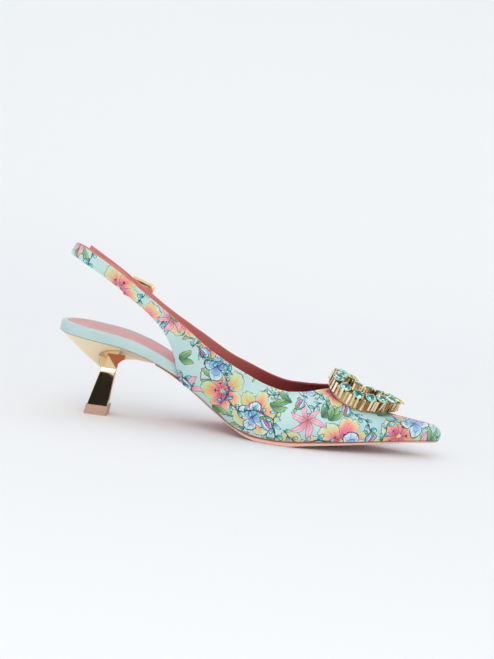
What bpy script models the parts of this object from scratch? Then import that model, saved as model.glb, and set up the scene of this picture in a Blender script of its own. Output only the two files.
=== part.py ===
"""Slingback pump, left shoe: pointed toe, faceted kitten heel, sling strap with a buckle and a heart brooch.

The pattern last is set out in millimetres: x runs from the back of the heel to the toe, y to the lateral
side, z up from the floor. The driving sizes grade it, and an empty carries every piece to the part's origin,
which is the middle of the bottom of the whole shoe.
"""
import math
from collections import namedtuple

import bmesh
import bpy
import numpy as np
from mathutils import Matrix, Vector

# Driving sizes, millimetres
LENGTH = 258.0
BALL_WIDTH = 80.0
HEEL_HEIGHT = 52.7
WALL = 1.6
GAP = 0.3
SOCK_THICK = 0.9

# The pattern last that the tables below describe, and its grading to the driving sizes
PATTERN_LENGTH = 258.0
PATTERN_BALL = 80.0
PATTERN_HEEL = 52.7
GRADE = np.array([LENGTH / PATTERN_LENGTH, BALL_WIDTH / PATTERN_BALL, HEEL_HEIGHT / PATTERN_HEEL])
MM = 0.001

# Sampling and welding
COLUMNS_PER_RIB = 3
ROWS_DOWN_WALL = 8
OUTLINE_STEPS = 3
TIP_PAIRS = 12
WIRE_RESOLUTION = 2
WELD = 1e-6
SMOOTH_ANGLE = 35.0
FACET_ANGLE = 20.0

# Upper: its wall stands on the board's edge, and a strap rib's foot handle leans half way to the rib itself
FOOT_CLEAR = WALL + 2.0 * GAP
STRAP_LEAN = 0.5

# Footbed: a well in its top takes the sock, which lies flush with the rim
WELL_DEPTH = GAP + SOCK_THICK
WELL_CLEAR = GAP / 2.0

# Heel
HEEL_INSET = 0.7
CORNER_SHARE = 0.28
NECK_TOP = 31.2
NECK_HALF = 5.2
COLUMN_CHAMFER = 0.6
NOTCH_LIP = 42.8
NOTCH_HALF = 5.4
NOTCH_BACK = 32.9
NOTCH_FRONT = 44.4
NOTCH_LEAN = 2.2
NOTCH_REACH = 30.0
SEAT_FRONT = 66.8
SOLE_BACK = 67.2

# Buckle: its band has a ridge on both faces, and it sits on the strap turned by some degrees, flatter than
# the strap runs
BUCKLE_LONG = 15.6
BUCKLE_WIDE = 11.4
BUCKLE_BAND = 3.0
BUCKLE_DEEP = 1.8
BUCKLE_CORNER = 1.8
BUCKLE_LIFT = 3.0 * GAP + BUCKLE_DEEP / 2.0
BUCKLE_TURN = 14.0
PRONG_WIRE = 0.7
PRONG_OVERHANG = 1.0

# Heart brooch: its settings stand square to the heart's slope and splay a part of the way with its bend
HEART_TOP = 45.8
HEART_TOP_X = 199.0
HEART_PITCH = -0.36
HEART_BEND = 44.0
HEART_STONES = 16
HEART_STEPS = 40
SETTING_HEIGHT = 7.5
SETTING_SPLAY = 0.5
FRAME_WIDTH = 6.0
BASE_TOP = 36.2
BASE_PITCH = -0.35
BASE_BEND = 31.0
CLAWS_PER_STONE = 2
CLAW_STEPS = 4
CLAW_RELIEF = 0.45
STONE_SIDES = 10
STONE_RADIUS = 3.75
STONE_TABLE = 0.62
STONE_CULET = 0.4
CROWN_HEIGHT = 1.5
PAVILION_HEIGHT = 1.3
PEAR_STRETCH = 0.55
PEAR_TAPER = 0.45


def columns(names, *rows):
    """A short table: a dict of arrays, one for each named column."""
    return dict(zip(names.split(), np.array(rows, float).T))


# Board: the plan of the insole board (half widths) and the height of its underside and its thickness
BOARD = columns(
    "x      medial lateral  under  thick",
    (0.0,     0.0,   0.0,   52.7,   7.0),
    (2.2,     9.5,   9.5,   52.6,   7.0),
    (8.0,    18.0,  18.0,   52.3,   7.0),
    (17.0,   23.4,  23.4,   51.5,   7.0),
    (27.0,   25.0,  25.0,   50.4,   7.0),
    (42.0,   24.0,  25.2,   48.4,   7.0),
    (57.0,   21.2,  25.6,   44.3,   7.0),
    (71.0,   18.8,  26.2,   38.6,   6.9),
    (85.0,   17.4,  26.8,   31.0,   6.6),
    (98.0,   17.6,  27.8,   22.8,   5.6),
    (112.0,  20.4,  30.0,   13.8,   4.4),
    (125.0,  26.0,  33.0,    6.7,   3.6),
    (137.0,  32.2,  35.4,    3.7,   3.2),
    (149.0,  35.4,  36.0,    3.3,   3.0),
    (162.0,  36.2,  35.0,    3.9,   3.0),
    (176.0,  34.8,  32.0,    5.4,   2.8),
    (192.0,  30.6,  27.0,    6.9,   2.6),
    (208.0,  24.4,  21.0,    8.4,   2.5),
    (224.0,  17.0,  14.4,    9.8,   2.4),
    (238.0,  10.6,   8.8,   11.0,   2.3),
    (248.0,   5.9,   5.0,   11.6,   2.2),
    (253.5,   3.1,   2.7,   11.8,   2.2),
    (256.0,   0.0,   0.0,   11.9,   2.2),
)

# Sole: its underside with arch, flat tread and toe spring, and how far its edge stands out from the board
SOLE = columns(
    "x      under  reach",
    (62.0,  40.7,  -1.6),
    (71.0,  37.0,  -1.2),
    (85.0,  29.3,  -0.2),
    (98.0,  20.9,   0.8),
    (107.0, 14.7,   1.2),
    (116.0,  9.2,   1.3),
    (125.0,  4.2,   1.4),
    (133.0,  1.3,   1.5),
    (140.0,  0.0,   1.5),
    (158.0,  0.0,   1.5),
    (168.0,  1.4,   1.5),
    (180.0,  3.0,   1.5),
    (200.0,  5.1,   1.4),
    (220.0,  7.0,   1.2),
    (238.0,  8.9,   1.0),
    (256.0,  9.9,   1.0),
)

# Edge sections: how far each layer of an edge stands out, and its share of the piece's thickness
FOOTBED_EDGE = columns(
    "out    share",
    (-0.15, 0.00),
    (0.0,   0.10),
    (-0.2,  0.55),
    (-0.5,  0.85),
    (-1.0,  1.00),
)
OUTSOLE_EDGE = columns(
    "out    share",
    (-1.0,  0.0),
    (0.0,   0.4),
    (0.0,   0.8),
    (-0.3,  1.0),
)
SOCK_EDGE = columns(
    "out    share",
    (0.0,   0.0),
    (-0.2,  1.0),
)

# Sock: how far its edge stays inside the board's edge
SOCK = columns(
    "x      inset",
    (0.0,   4.8),
    (100.0, 4.8),
    (135.0, 1.4),
    (256.0, 1.4),
)

# Ribs: each runs down the wall from the topline to the sole, or across the sling strap.
# dip is the wall's slope at the topline in degrees, reach and rise are the lengths of its two handles, and
# flare is how far the wall leans out above the sole, in degrees. foot_y and foot_z are None where the rib
# ends on the sole. sag pulls the middle of a rib down, where the vamp falls hollow to the blunt toe.
Rib = namedtuple("Rib", "name top_x top_y top_z foot_x foot_y foot_z dip reach flare rise sag",
                 defaults=(0.0,))
RIBS = (
    Rib("sling_end",      46.0,  18.9,  85.2,   41.6,  18.7,  78.3, 90,  2.6,  0,  2.6),
    Rib("sling_lateral",  34.0,  16.9,  94.4,   30.0,  16.6,  87.0, 90,  2.8,  0,  2.8),
    Rib("sling_turn",     17.6,  13.4, 103.2,   13.6,  13.0,  95.4, 90,  2.8,  0,  2.8),
    Rib("sling_corner",    8.6,   8.0, 108.6,    5.2,   7.6, 101.2, 90,  2.8,  0,  2.8),
    Rib("sling_back",      4.4,   0.0, 110.8,    1.6,   0.0, 103.4, 90,  2.8,  0,  2.8),
    Rib("strap_corner",    7.8,  -8.6, 110.2,    4.7,  -8.2, 102.9, 90,  2.8,  0,  2.8),
    Rib("strap_turn",     16.4, -14.4, 106.6,   12.9, -13.8,  99.4, 90,  2.8,  0,  2.8),
    Rib("strap_middle",   32.0, -18.8,  98.8,   28.4, -18.2,  91.8, 90,  2.8,  0,  2.8),
    Rib("strap_front",    49.0, -22.2,  88.6,   44.6, -21.4,  82.2, 90,  2.8,  0,  2.8),
    Rib("strap_root",     64.0, -25.4,  79.6,   57.6, -24.0,  74.0, 90,  3.0,  2,  3.0),
    Rib("quarter_top",    74.0, -27.3,  73.2,   67.2, -25.2,  66.0, 89,  3.6,  4,  3.6),
    Rib("quarter_back",   82.5, -28.6,  67.8,   74.0, -24.4,  57.2, 89,  5.0,  8,  5.0),
    Rib("quarter_fall",   88.5, -29.4,  63.8,   79.0, -21.6,  46.0, 89,  8.0, 14,  8.0),
    Rib("quarter_corner", 94.0, -30.0,  60.2,   83.4,  None,  None, 89, 10.0, 20, 10.0),
    Rib("waist",         104.0, -30.9,  54.0,   97.0,  None,  None, 90, 10.0, 24, 11.0),
    Rib("shank",         115.0, -31.5,  48.2,  111.0,  None,  None, 90, 10.0, 26, 12.0),
    Rib("break",         127.0, -31.6,  42.8,  126.0,  None,  None, 88,  9.0, 26, 13.0),
    Rib("joint",         140.0, -30.8,  37.6,  141.0,  None,  None, 80,  8.0, 26, 14.0),
    Rib("ball",          152.0, -28.6,  34.8,  156.5,  None,  None, 62,  8.0, 26, 14.0),
    Rib("vamp_side",     164.5, -23.6,  35.0,  175.0,  None,  None, 38, 10.0, 25, 16.0),
    Rib("vamp",          175.5, -16.6,  37.0,  197.0,  None,  None, 27, 15.0, 24, 18.0),
    Rib("toe_side",      183.6,  -9.6,  38.6,  222.0,  None,  None, 29, 24.0, 22, 18.0,  2.5),
    Rib("toe",           187.8,  -4.4,  39.4,  243.0,  None,  None, 33, 29.0, 19, 19.0,  7.0),
    Rib("tip_side",      188.7,  -1.9,  39.6,  252.6,  None,  None, 34, 30.0, 13, 22.5, 11.0),
    Rib("tip",           189.0,   0.0,  39.7,  256.0,  None,  None, 34, 30.0, 11, 24.6, 12.8),
    Rib("tip_lateral",   188.7,   1.9,  39.6,  252.6,  None,  None, 34, 30.0, 13, 22.5, 11.0),
    Rib("toe_lateral",   187.8,   4.4,  39.3,  243.0,  None,  None, 33, 29.0, 19, 19.0,  7.0),
    Rib("toe_out",       183.6,   9.4,  38.4,  222.0,  None,  None, 29, 24.0, 22, 18.0,  2.5),
    Rib("vamp_out",      175.5,  16.0,  36.7,  197.0,  None,  None, 27, 15.0, 24, 18.0),
    Rib("side_out",      164.5,  22.8,  35.3,  175.0,  None,  None, 40, 10.0, 24, 16.0),
    Rib("ball_out",      152.0,  27.6,  34.9,  155.0,  None,  None, 66,  8.0, 24, 13.5),
    Rib("joint_out",     140.0,  29.8,  37.5,  139.5,  None,  None, 84,  8.0, 22, 13.0),
    Rib("break_out",     127.0,  30.4,  42.1,  125.0,  None,  None, 92,  9.0, 18, 13.0),
    Rib("shank_out",     115.0,  30.0,  46.6,  110.5,  None,  None, 94, 10.0, 14, 12.0),
    Rib("waist_out",     104.0,  29.0,  52.4,   97.0,  None,  None, 94, 10.0, 10, 11.0),
    Rib("corner_out",     94.0,  27.8,  58.2,   83.4,  None,  None, 94, 10.0,  6, 10.0),
    Rib("fall_out",       88.5,  27.0,  61.2,   79.0,  28.3,  45.2, 92,  8.0,  2,  8.0),
    Rib("back_out",       82.5,  26.2,  64.7,   74.0,  26.6,  55.4, 90,  5.0,  0,  5.0),
    Rib("quarter_out",    74.0,  25.0,  69.5,   67.2,  25.0,  63.1, 90,  3.6,  0,  3.6),
    Rib("arm_root",       64.0,  23.8,  75.6,   57.8,  23.4,  70.3, 90,  3.0,  0,  3.0),
    Rib("arm_buckle",     49.0,  22.2,  85.8,   44.6,  22.0,  79.2, 90,  2.8,  0,  2.8),
    Rib("tail",           30.0,  20.6,  97.9,   26.2,  20.4,  91.0, 90,  2.8,  0,  2.8),
    Rib("tail_end",       12.0,  17.4, 108.6,    8.4,  17.0, 101.4, 90,  2.8,  0,  2.8),
)

# Heel wedge: rings from the seat down to the neck. drop goes from 0 at the seat to 1 at the neck, back is the
# straight rear edge, and front is the breast, which runs forward under the board as a thin lip.
WEDGE = columns(
    "drop    back  front",
    (0.00,    0.9,  66.8),
    (0.12,    3.9,  64.6),
    (0.234,   7.4,  60.8),
    (0.333,  10.4,  53.4),
    (0.472,  14.7,  47.2),
    (0.655,  20.2,  43.2),
    (0.785,  24.0,  41.4),
    (1.00,   29.9,  40.9),
)

# Heel column below the neck: rectangles with chamfered corners
COLUMN = columns(
    "z      back  front  half",
    (30.6,  30.3,  40.5,  5.5),
    (28.4,  29.7,  40.4,  6.4),
    (6.6,   23.9,  38.2,  8.4),
)

# Top piece under the heel: it flares a little to the floor
TIP = columns(
    "z      back  front  half",
    (6.3,   23.6,  38.8,  8.7),
    (0.0,   22.7,  37.9,  9.0),
)

# Heart: one half of the brooch's middle line at the girdles, from the notch at the throat to the tip
HEART = columns(
    "x       y",
    (195.1,   0.0),
    (190.4,   4.7),
    (186.2,  12.0),
    (189.4,  19.4),
    (198.1,  22.4),
    (208.4,  19.8),
    (218.6,  11.8),
    (226.8,   0.0),
)

# Finishes: base colour, metallic, roughness
FINISH = {
    "satin": ((0.50, 0.74, 0.73), 0.0, 0.45),
    "aqua_leather": ((0.42, 0.66, 0.66), 0.0, 0.40),
    "pink_leather": ((0.62, 0.27, 0.24), 0.0, 0.45),
    "sole_leather": ((0.72, 0.42, 0.36), 0.0, 0.45),
    "gold": ((0.83, 0.62, 0.32), 1.0, 0.12),
    "tan_rubber": ((0.45, 0.27, 0.20), 0.0, 0.50),
    "aqua_stone": ((0.25, 0.75, 0.68), 0.0, 0.03),
    "lime_stone": ((0.72, 0.80, 0.42), 0.0, 0.03),
}


# Scene

def clear_scene():
    for stale in list(bpy.data.objects):
        bpy.data.objects.remove(stale, do_unlink=True)


def new_collection(name):
    group = bpy.data.collections.new(name)
    bpy.context.scene.collection.children.link(group)
    return group


def finish(name):
    """The named Principled material, made on first use."""
    found = bpy.data.materials.get(name)
    if found:
        return found
    colour, metallic, roughness = FINISH[name]
    material = bpy.data.materials.new(name)
    material.use_nodes = True
    shader = material.node_tree.nodes["Principled BSDF"]
    shader.inputs["Base Color"].default_value = (*colour, 1.0)
    shader.inputs["Metallic"].default_value = metallic
    shader.inputs["Roughness"].default_value = roughness
    return material


def add_object(name, mesh, finish_name, group):
    piece = bpy.data.objects.new(name, mesh)
    piece.data.materials.append(finish(finish_name))
    group.objects.link(piece)
    return piece


def weld(mesh):
    """Joins the mesh's coincident points and turns its faces out."""
    work = bmesh.new()
    work.from_mesh(mesh)
    bmesh.ops.remove_doubles(work, verts=work.verts, dist=WELD)
    bmesh.ops.recalc_face_normals(work, faces=work.faces)
    work.to_mesh(mesh)
    work.free()
    mesh.shade_smooth()


def mesh_from(vertices, faces, name, smooth_angle=SMOOTH_ANGLE):
    """A mesh from graded millimetre points, with welded ends and faces that point out."""
    mesh = bpy.data.meshes.new(name)
    points = np.asarray(vertices, float) * GRADE * MM
    mesh.from_pydata([tuple(p) for p in points], [], faces)
    weld(mesh)
    mesh.set_sharp_from_angle(angle=math.radians(smooth_angle))
    return mesh


# Curves through tables

def profile(x, value):
    """A monotone cubic through a table's column, so that a flat stretch stays flat."""
    step = np.diff(x)
    slope = np.diff(value) / step
    tangent = np.empty_like(value)
    tangent[0], tangent[-1] = slope[0], slope[-1]
    for i in range(1, len(x) - 1):
        before, after = slope[i - 1], slope[i]
        if before * after <= 0.0:
            tangent[i] = 0.0
        else:
            w1 = 2.0 * step[i] + step[i - 1]
            w2 = step[i] + 2.0 * step[i - 1]
            tangent[i] = (w1 + w2) / (w1 / before + w2 / after)

    def at(place):
        place = min(max(place, x[0]), x[-1])
        i = min(int(np.searchsorted(x, place, side="right")) - 1, len(x) - 2)
        return hermite(value[i], value[i + 1], tangent[i], tangent[i + 1], step[i], (place - x[i]) / step[i])
    return at


def hermite(start, end, leave, arrive, span, t):
    """The cubic between two values with the given slopes at its ends."""
    return ((2 * t**3 - 3 * t**2 + 1) * start + (t**3 - 2 * t**2 + t) * span * leave
            + (3 * t**2 - 2 * t**3) * end + (t**3 - t**2) * span * arrive)


def spline(points, per_span, key=None):
    """Samples of a smooth curve through rows of numbers, spaced by the distance between the key columns."""
    points = np.asarray(points, float)
    place = points if key is None else points[:, key]
    knot = np.concatenate([[0.0], np.cumsum(np.linalg.norm(np.diff(place, axis=0), axis=1))])
    step = np.diff(knot)
    slope = np.diff(points, axis=0) / step[:, None]
    tangent = np.empty_like(points)
    tangent[0], tangent[-1] = slope[0], slope[-1]
    for i in range(1, len(points) - 1):
        tangent[i] = (slope[i - 1] * step[i] + slope[i] * step[i - 1]) / (step[i - 1] + step[i])
    samples = []
    for i in range(len(points) - 1):
        for t in np.arange(per_span) / per_span:
            samples.append(hermite(points[i], points[i + 1], tangent[i], tangent[i + 1], step[i], t))
    samples.append(points[-1])
    return np.array(samples)


# The board's plan

def board_outline():
    """Medial and lateral edges of the board in plan, from heel to toe, with the same number of points."""
    medial = np.stack([BOARD["x"], -BOARD["medial"]], 1)
    lateral = np.stack([BOARD["x"], BOARD["lateral"]], 1)
    loop = np.concatenate([lateral[1:2], medial, lateral[-2:-1]])
    near = spline(loop, OUTLINE_STEPS)[OUTLINE_STEPS:-OUTLINE_STEPS]
    loop = np.concatenate([medial[1:2], lateral, medial[-2:-1]])
    far = spline(loop, OUTLINE_STEPS)[OUTLINE_STEPS:-OUTLINE_STEPS]
    return near, far


def edge_normals(edge, side):
    """Outward plan normals of one edge; at heel and toe they point straight back and ahead."""
    along = np.gradient(edge, axis=0)
    out = np.stack([-along[:, 1], along[:, 0]], 1) * side
    out /= np.linalg.norm(out, axis=1)[:, None]
    out[0], out[-1] = (-1.0, 0.0), (1.0, 0.0)
    return out


NEAR, FAR = board_outline()
NEAR_OUT, FAR_OUT = edge_normals(NEAR, -1.0), edge_normals(FAR, 1.0)
under_board = profile(BOARD["x"], BOARD["under"])
board_thick = profile(BOARD["x"], BOARD["thick"])
under_sole = profile(SOLE["x"], SOLE["under"])
sole_reach = profile(SOLE["x"], SOLE["reach"])
sock_inset = profile(SOCK["x"], SOCK["inset"])


def board_top(x):
    return under_board(x) + board_thick(x)


def board_edge(x, side):
    """The board's edge at x and its outward normal, on the medial side (-1) or the lateral side (1)."""
    edge, out = (NEAR, NEAR_OUT) if side < 0 else (FAR, FAR_OUT)
    point = np.array([x, np.interp(x, edge[:, 0], edge[:, 1])])
    normal = np.array([np.interp(x, edge[:, 0], out[:, 0]), np.interp(x, edge[:, 0], out[:, 1])])
    return point, normal / np.linalg.norm(normal)


# Closed stacks: pieces built from rings of medial and lateral points

def closed_stack(name, rings, smooth_angle=SMOOTH_ANGLE, flat=(False, False)):
    """A closed body from rings that run bottom to top.

    A ring lists pairs of points from back to front, one medial and one lateral; the pairs of the first and
    the last ring close the bottom and the top, and the first and the last pairs close the two ends. flat says
    for the bottom and the top whether the ring lies in one plane and closes as one face.
    """
    vertices = [point for ring in rings for pair in ring for point in pair]
    count = len(rings[0])

    def at(ring, pair, side):
        return (ring * count + pair) * 2 + side
    faces = []
    for r in range(len(rings) - 1):
        for i in range(count - 1):
            faces.append((at(r, i, 0), at(r, i + 1, 0), at(r + 1, i + 1, 0), at(r + 1, i, 0)))
            faces.append((at(r, i, 1), at(r + 1, i, 1), at(r + 1, i + 1, 1), at(r, i + 1, 1)))
        for i in (0, count - 1):
            end = (at(r, i, 0), at(r + 1, i, 0), at(r + 1, i, 1), at(r, i, 1))
            faces.append(end if i == 0 else end[::-1])
    for ring, is_flat in zip((0, len(rings) - 1), flat):
        if is_flat:
            medial = [at(ring, i, 0) for i in range(count)]
            lateral = [at(ring, i, 1) for i in range(count - 1, 0, -1)]
            faces.append(medial + lateral)
            continue
        for i in range(count - 1):
            faces.append((at(ring, i, 0), at(ring, i, 1), at(ring, i + 1, 1), at(ring, i + 1, 0)))
    return mesh_from(vertices, faces, name, smooth_angle)


def plan_pairs(start, stop):
    """Medial and lateral edge points with their normals, from one station of the board to another."""
    inside = [i for i in range(len(NEAR)) if start < NEAR[i, 0] < stop]
    pairs = []
    for x in (start, stop):
        pairs.append([board_edge(x, side) for side in (-1, 1)])
    middle = [[(NEAR[i], NEAR_OUT[i]), (FAR[i], FAR_OUT[i])] for i in inside]
    return [pairs[0], *middle, pairs[1]]


def plan_ring(start, stop, reach, height):
    """A ring of the board's plan, set out from its edge by reach and at a height."""
    ring = []
    for pair in plan_pairs(start, stop):
        corners = []
        for point, normal in pair:
            plan = point + normal * reach(point[0])
            corners.append((*plan, height(point[0])))
        ring.append(corners)
    return ring


def slab_rings(start, stop, edge, reach, low, high):
    """The rings of a sheet that follows the board between two heights, its edge set out by reach."""
    rings = []
    for out, share in zip(edge["out"], edge["share"]):
        rings.append(plan_ring(start, stop, lambda x: reach(x) + out,
                               lambda x: low(x) + share * (high(x) - low(x))))
    return rings


def make_footbed(group):
    heel, toe = BOARD["x"][0], BOARD["x"][-1]
    rings = slab_rings(heel, toe, FOOTBED_EDGE, lambda x: 0.0, under_board, board_top)
    for depth in (0.0, WELL_DEPTH):
        rings.append(plan_ring(heel, toe, lambda x: WELL_CLEAR - sock_inset(x),
                               lambda x: board_top(x) - depth))
    return add_object("footbed", closed_stack("footbed", rings), "aqua_leather", group)


def make_sock(group):
    rings = slab_rings(BOARD["x"][0], BOARD["x"][-1], SOCK_EDGE, lambda x: -sock_inset(x),
                       lambda x: board_top(x) - SOCK_THICK, board_top)
    return add_object("sock", closed_stack("sock", rings), "pink_leather", group)


def make_outsole(group):
    rings = slab_rings(SOLE_BACK, BOARD["x"][-1], OUTSOLE_EDGE, sole_reach, under_sole,
                       lambda x: under_board(x) - GAP)
    return add_object("outsole", closed_stack("outsole", rings), "sole_leather", group)


# Upper

def rib_line(rib):
    """The four Bezier points of one rib, from the topline down to its foot, and its sag."""
    top = np.array([rib.top_x, rib.top_y, rib.top_z])
    side = -1.0 if rib.top_y < 0 else 1.0
    if rib.foot_z is None:
        edge, out = board_edge(rib.foot_x, side)
        plan = edge + out * FOOT_CLEAR
        foot = np.array([*plan, under_board(rib.foot_x)])
    else:
        foot = np.array([rib.foot_x, rib.foot_y, rib.foot_z])
        out = np.array([0.0, side]) if abs(foot[1]) > 1.0 else np.array([-1.0, 0.0])
    level = foot - top
    level[2] = 0.0
    level /= max(np.linalg.norm(level), 1e-6)
    dip = math.radians(rib.dip)
    leave = math.cos(dip) * level
    leave[2] = -math.sin(dip)
    if rib.foot_z is not None:
        leave = (foot - top) / np.linalg.norm(foot - top)
    flare = math.radians(rib.flare)
    arrive = np.array([*(out * math.sin(flare)), math.cos(flare)])
    if rib.foot_z is not None:
        arrive = arrive * (1.0 - STRAP_LEAN) - leave * STRAP_LEAN
    return np.concatenate([top, top + leave * rib.reach, foot + arrive * rib.rise, foot, [rib.sag]])


def make_upper(group):
    lines = spline([rib_line(rib) for rib in RIBS], COLUMNS_PER_RIB, key=[0, 1, 2, 9, 10, 11])
    rows = ROWS_DOWN_WALL + 1
    vertices = []
    for line in lines:
        p0, p1, p2, p3 = line[:-1].reshape(4, 3)
        sag = np.array([0.0, 0.0, line[-1]])
        for t in np.linspace(0.0, 1.0, rows):
            point = (1 - t)**3 * p0 + 3 * (1 - t)**2 * t * p1 + 3 * (1 - t) * t**2 * p2 + t**3 * p3
            vertices.append(point - 6 * (1 - t)**2 * t**2 * sag)
    faces = []
    for u in range(len(lines) - 1):
        for v in range(rows - 1):
            corner = u * rows + v
            faces.append((corner, corner + 1, corner + rows + 1, corner + rows))
    mesh = bpy.data.meshes.new("upper")
    points = np.array(vertices) * GRADE * MM
    mesh.from_pydata([tuple(p) for p in points], [], faces)
    mesh.shade_smooth()
    piece = add_object("upper", mesh, "satin", group)
    wall = piece.modifiers.new("wall", "SOLIDIFY")
    wall.thickness = WALL * MM
    wall.offset = -1.0
    return piece


# Heel

def rectangle_share(count):
    """Where each pair of a ring sits on a rectangle with cut corners, along its length and half width."""
    corner = round(CORNER_SHARE * (count - 1))
    index = [0, corner, corner + 1, count - 2, count - 1]
    place = np.arange(count)
    along = np.interp(place, index, [0.0, 0.0, 1.0, 2.0, 3.0])
    half = np.interp(place, index, [0.0, 0.0, 1.0, 1.0, 0.0])
    reach = np.interp(place, [0, corner], [0.0, 1.0])
    return along, half, reach


def rectangle_ring(count, back, front, half, z, cut):
    """A rectangle with cut corners as a ring of pairs, from the middle of its back to its front corners."""
    along, wide, reach = rectangle_share(count)
    x = np.interp(along, [0.0, 1.0, 2.0, 3.0], [back, back + cut, front - cut, front])
    y = (half - cut + cut * wide) * reach
    return [((x[i], -y[i], z), (x[i], y[i], z)) for i in range(count)]


def make_heel(group, cutters):
    seat_pairs = plan_pairs(BOARD["x"][0], SEAT_FRONT)
    seat = [[point - out * HEEL_INSET for point, out in pair] for pair in seat_pairs]
    count = len(seat)
    neck = rectangle_ring(count, WEDGE["back"][-1], WEDGE["front"][-1], NECK_HALF, NECK_TOP, COLUMN_CHAMFER)
    seat_back, seat_front = seat[0][0][0], seat[-1][0][0]
    rings = []
    for drop, back, front in zip(WEDGE["drop"], WEDGE["back"], WEDGE["front"]):
        ring = []
        for i in range(count):
            pair = []
            for side in (0, 1):
                share = (seat[i][side][0] - seat_back) / (seat_front - seat_back)
                neck_share = (neck[i][side][0] - WEDGE["back"][-1]) / (WEDGE["front"][-1] - WEDGE["back"][-1])
                share += (neck_share - share) * drop
                x = back + (front - back) * share
                y = seat[i][side][1] * (1.0 - drop) + neck[i][side][1] * drop
                z = (under_board(x) - GAP) * (1.0 - drop) + NECK_TOP * drop
                pair.append((x, y, z))
            ring.append(pair)
        rings.append(ring)
    for z, back, front, half in zip(COLUMN["z"], COLUMN["back"], COLUMN["front"], COLUMN["half"]):
        rings.append(rectangle_ring(count, back, front, half, z, COLUMN_CHAMFER))
    piece = add_object("heel", closed_stack("heel", rings[::-1], FACET_ANGLE, (True, False)), "gold", group)
    for side in (-1.0, 1.0):
        low = np.array([NOTCH_BACK, side * NOTCH_HALF, NECK_TOP + GAP])
        high = np.array([NOTCH_FRONT, side * NOTCH_REACH, NOTCH_LIP])
        cutter = add_box(f"notch_{'medial' if side < 0 else 'lateral'}", low, high, NOTCH_LEAN, cutters)
        cut = piece.modifiers.new("notch", "BOOLEAN")
        cut.operation = "DIFFERENCE"
        cut.object = cutter
    return piece


def add_box(name, low, high, lean, group):
    """A wire box between two graded corners, for cutting; its top leans ahead."""
    low, high = np.minimum(low, high) * GRADE * MM, np.maximum(low, high) * GRADE * MM
    work = bmesh.new()
    size = Matrix.Diagonal((*(high - low), 1.0))
    bmesh.ops.create_cube(work, size=1.0, matrix=Matrix.Translation((low + high) / 2.0) @ size)
    top = [vertex for vertex in work.verts if vertex.co.z > (low[2] + high[2]) / 2.0]
    bmesh.ops.translate(work, verts=top, vec=(lean * GRADE[0] * MM, 0.0, 0.0))
    mesh = bpy.data.meshes.new(name)
    work.to_mesh(mesh)
    work.free()
    box = bpy.data.objects.new(name, mesh)
    box.hide_render = True
    box.display_type = "WIRE"
    group.objects.link(box)
    return box


def make_heel_tip(group):
    rings = []
    for z, back, front, half in zip(TIP["z"], TIP["back"], TIP["front"], TIP["half"]):
        rings.append(rectangle_ring(TIP_PAIRS, back, front, half, z, COLUMN_CHAMFER))
    mesh = closed_stack("heel_tip", rings[::-1], FACET_ANGLE, (True, True))
    return add_object("heel_tip", mesh, "tan_rubber", group)


# Buckle

def strap_frame(first, second):
    """The place of a lateral strap rib, with axes along the strap to the second rib, across it and out."""
    names = [rib.name for rib in RIBS]
    a, b = RIBS[names.index(first)], RIBS[names.index(second)]
    mid_a = Vector((a.top_x + a.foot_x, a.top_y + a.foot_y, a.top_z + a.foot_z)) / 2.0
    mid_b = Vector((b.top_x + b.foot_x, b.top_y + b.foot_y, b.top_z + b.foot_z)) / 2.0
    along = (mid_b - mid_a).normalized()
    across = Vector((a.top_x - a.foot_x, a.top_y - a.foot_y, a.top_z - a.foot_z)).normalized()
    out = across.cross(along).normalized()
    if out.y < 0.0:
        out.negate()
    across = out.cross(along).normalized()
    return mid_a, along, across, out


def wire_mesh(name, points, wire):
    """A round wire along points, as a mesh with its caps welded."""
    line = bpy.data.curves.new(name, "CURVE")
    line.dimensions = "3D"
    line.bevel_depth = wire * MM
    line.bevel_resolution = WIRE_RESOLUTION
    line.use_fill_caps = True
    path = line.splines.new("POLY")
    path.points.add(len(points) - 1)
    for spot, point in zip(path.points, points):
        spot.co = (*(np.array(point) * GRADE * MM), 1.0)
    holder = bpy.data.objects.new(name, line)
    bpy.context.scene.collection.objects.link(holder)
    bpy.context.view_layer.update()
    mesh = bpy.data.meshes.new_from_object(holder.evaluated_get(bpy.context.evaluated_depsgraph_get()))
    bpy.data.objects.remove(holder, do_unlink=True)
    weld(mesh)
    return mesh


def band_faces(count):
    """The faces of a closed band whose every section lists four points."""
    faces = []
    for i in range(count):
        after = (i + 1) % count
        for k in range(4):
            turn = (k + 1) % 4
            faces.append((i * 4 + k, i * 4 + turn, after * 4 + turn, after * 4 + k))
    return faces


def rounded_rectangle(long, wide, corner, steps=4):
    """Points of a rectangle with round corners about the origin."""
    points = []
    for quarter, (sx, sy) in enumerate(((1, 1), (-1, 1), (-1, -1), (1, -1))):
        for k in range(steps + 1):
            turn = (quarter + k / steps) * math.pi / 2.0
            points.append((sx * (long / 2.0 - corner) + corner * math.cos(turn),
                           sy * (wide / 2.0 - corner) + corner * math.sin(turn)))
    return points


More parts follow.
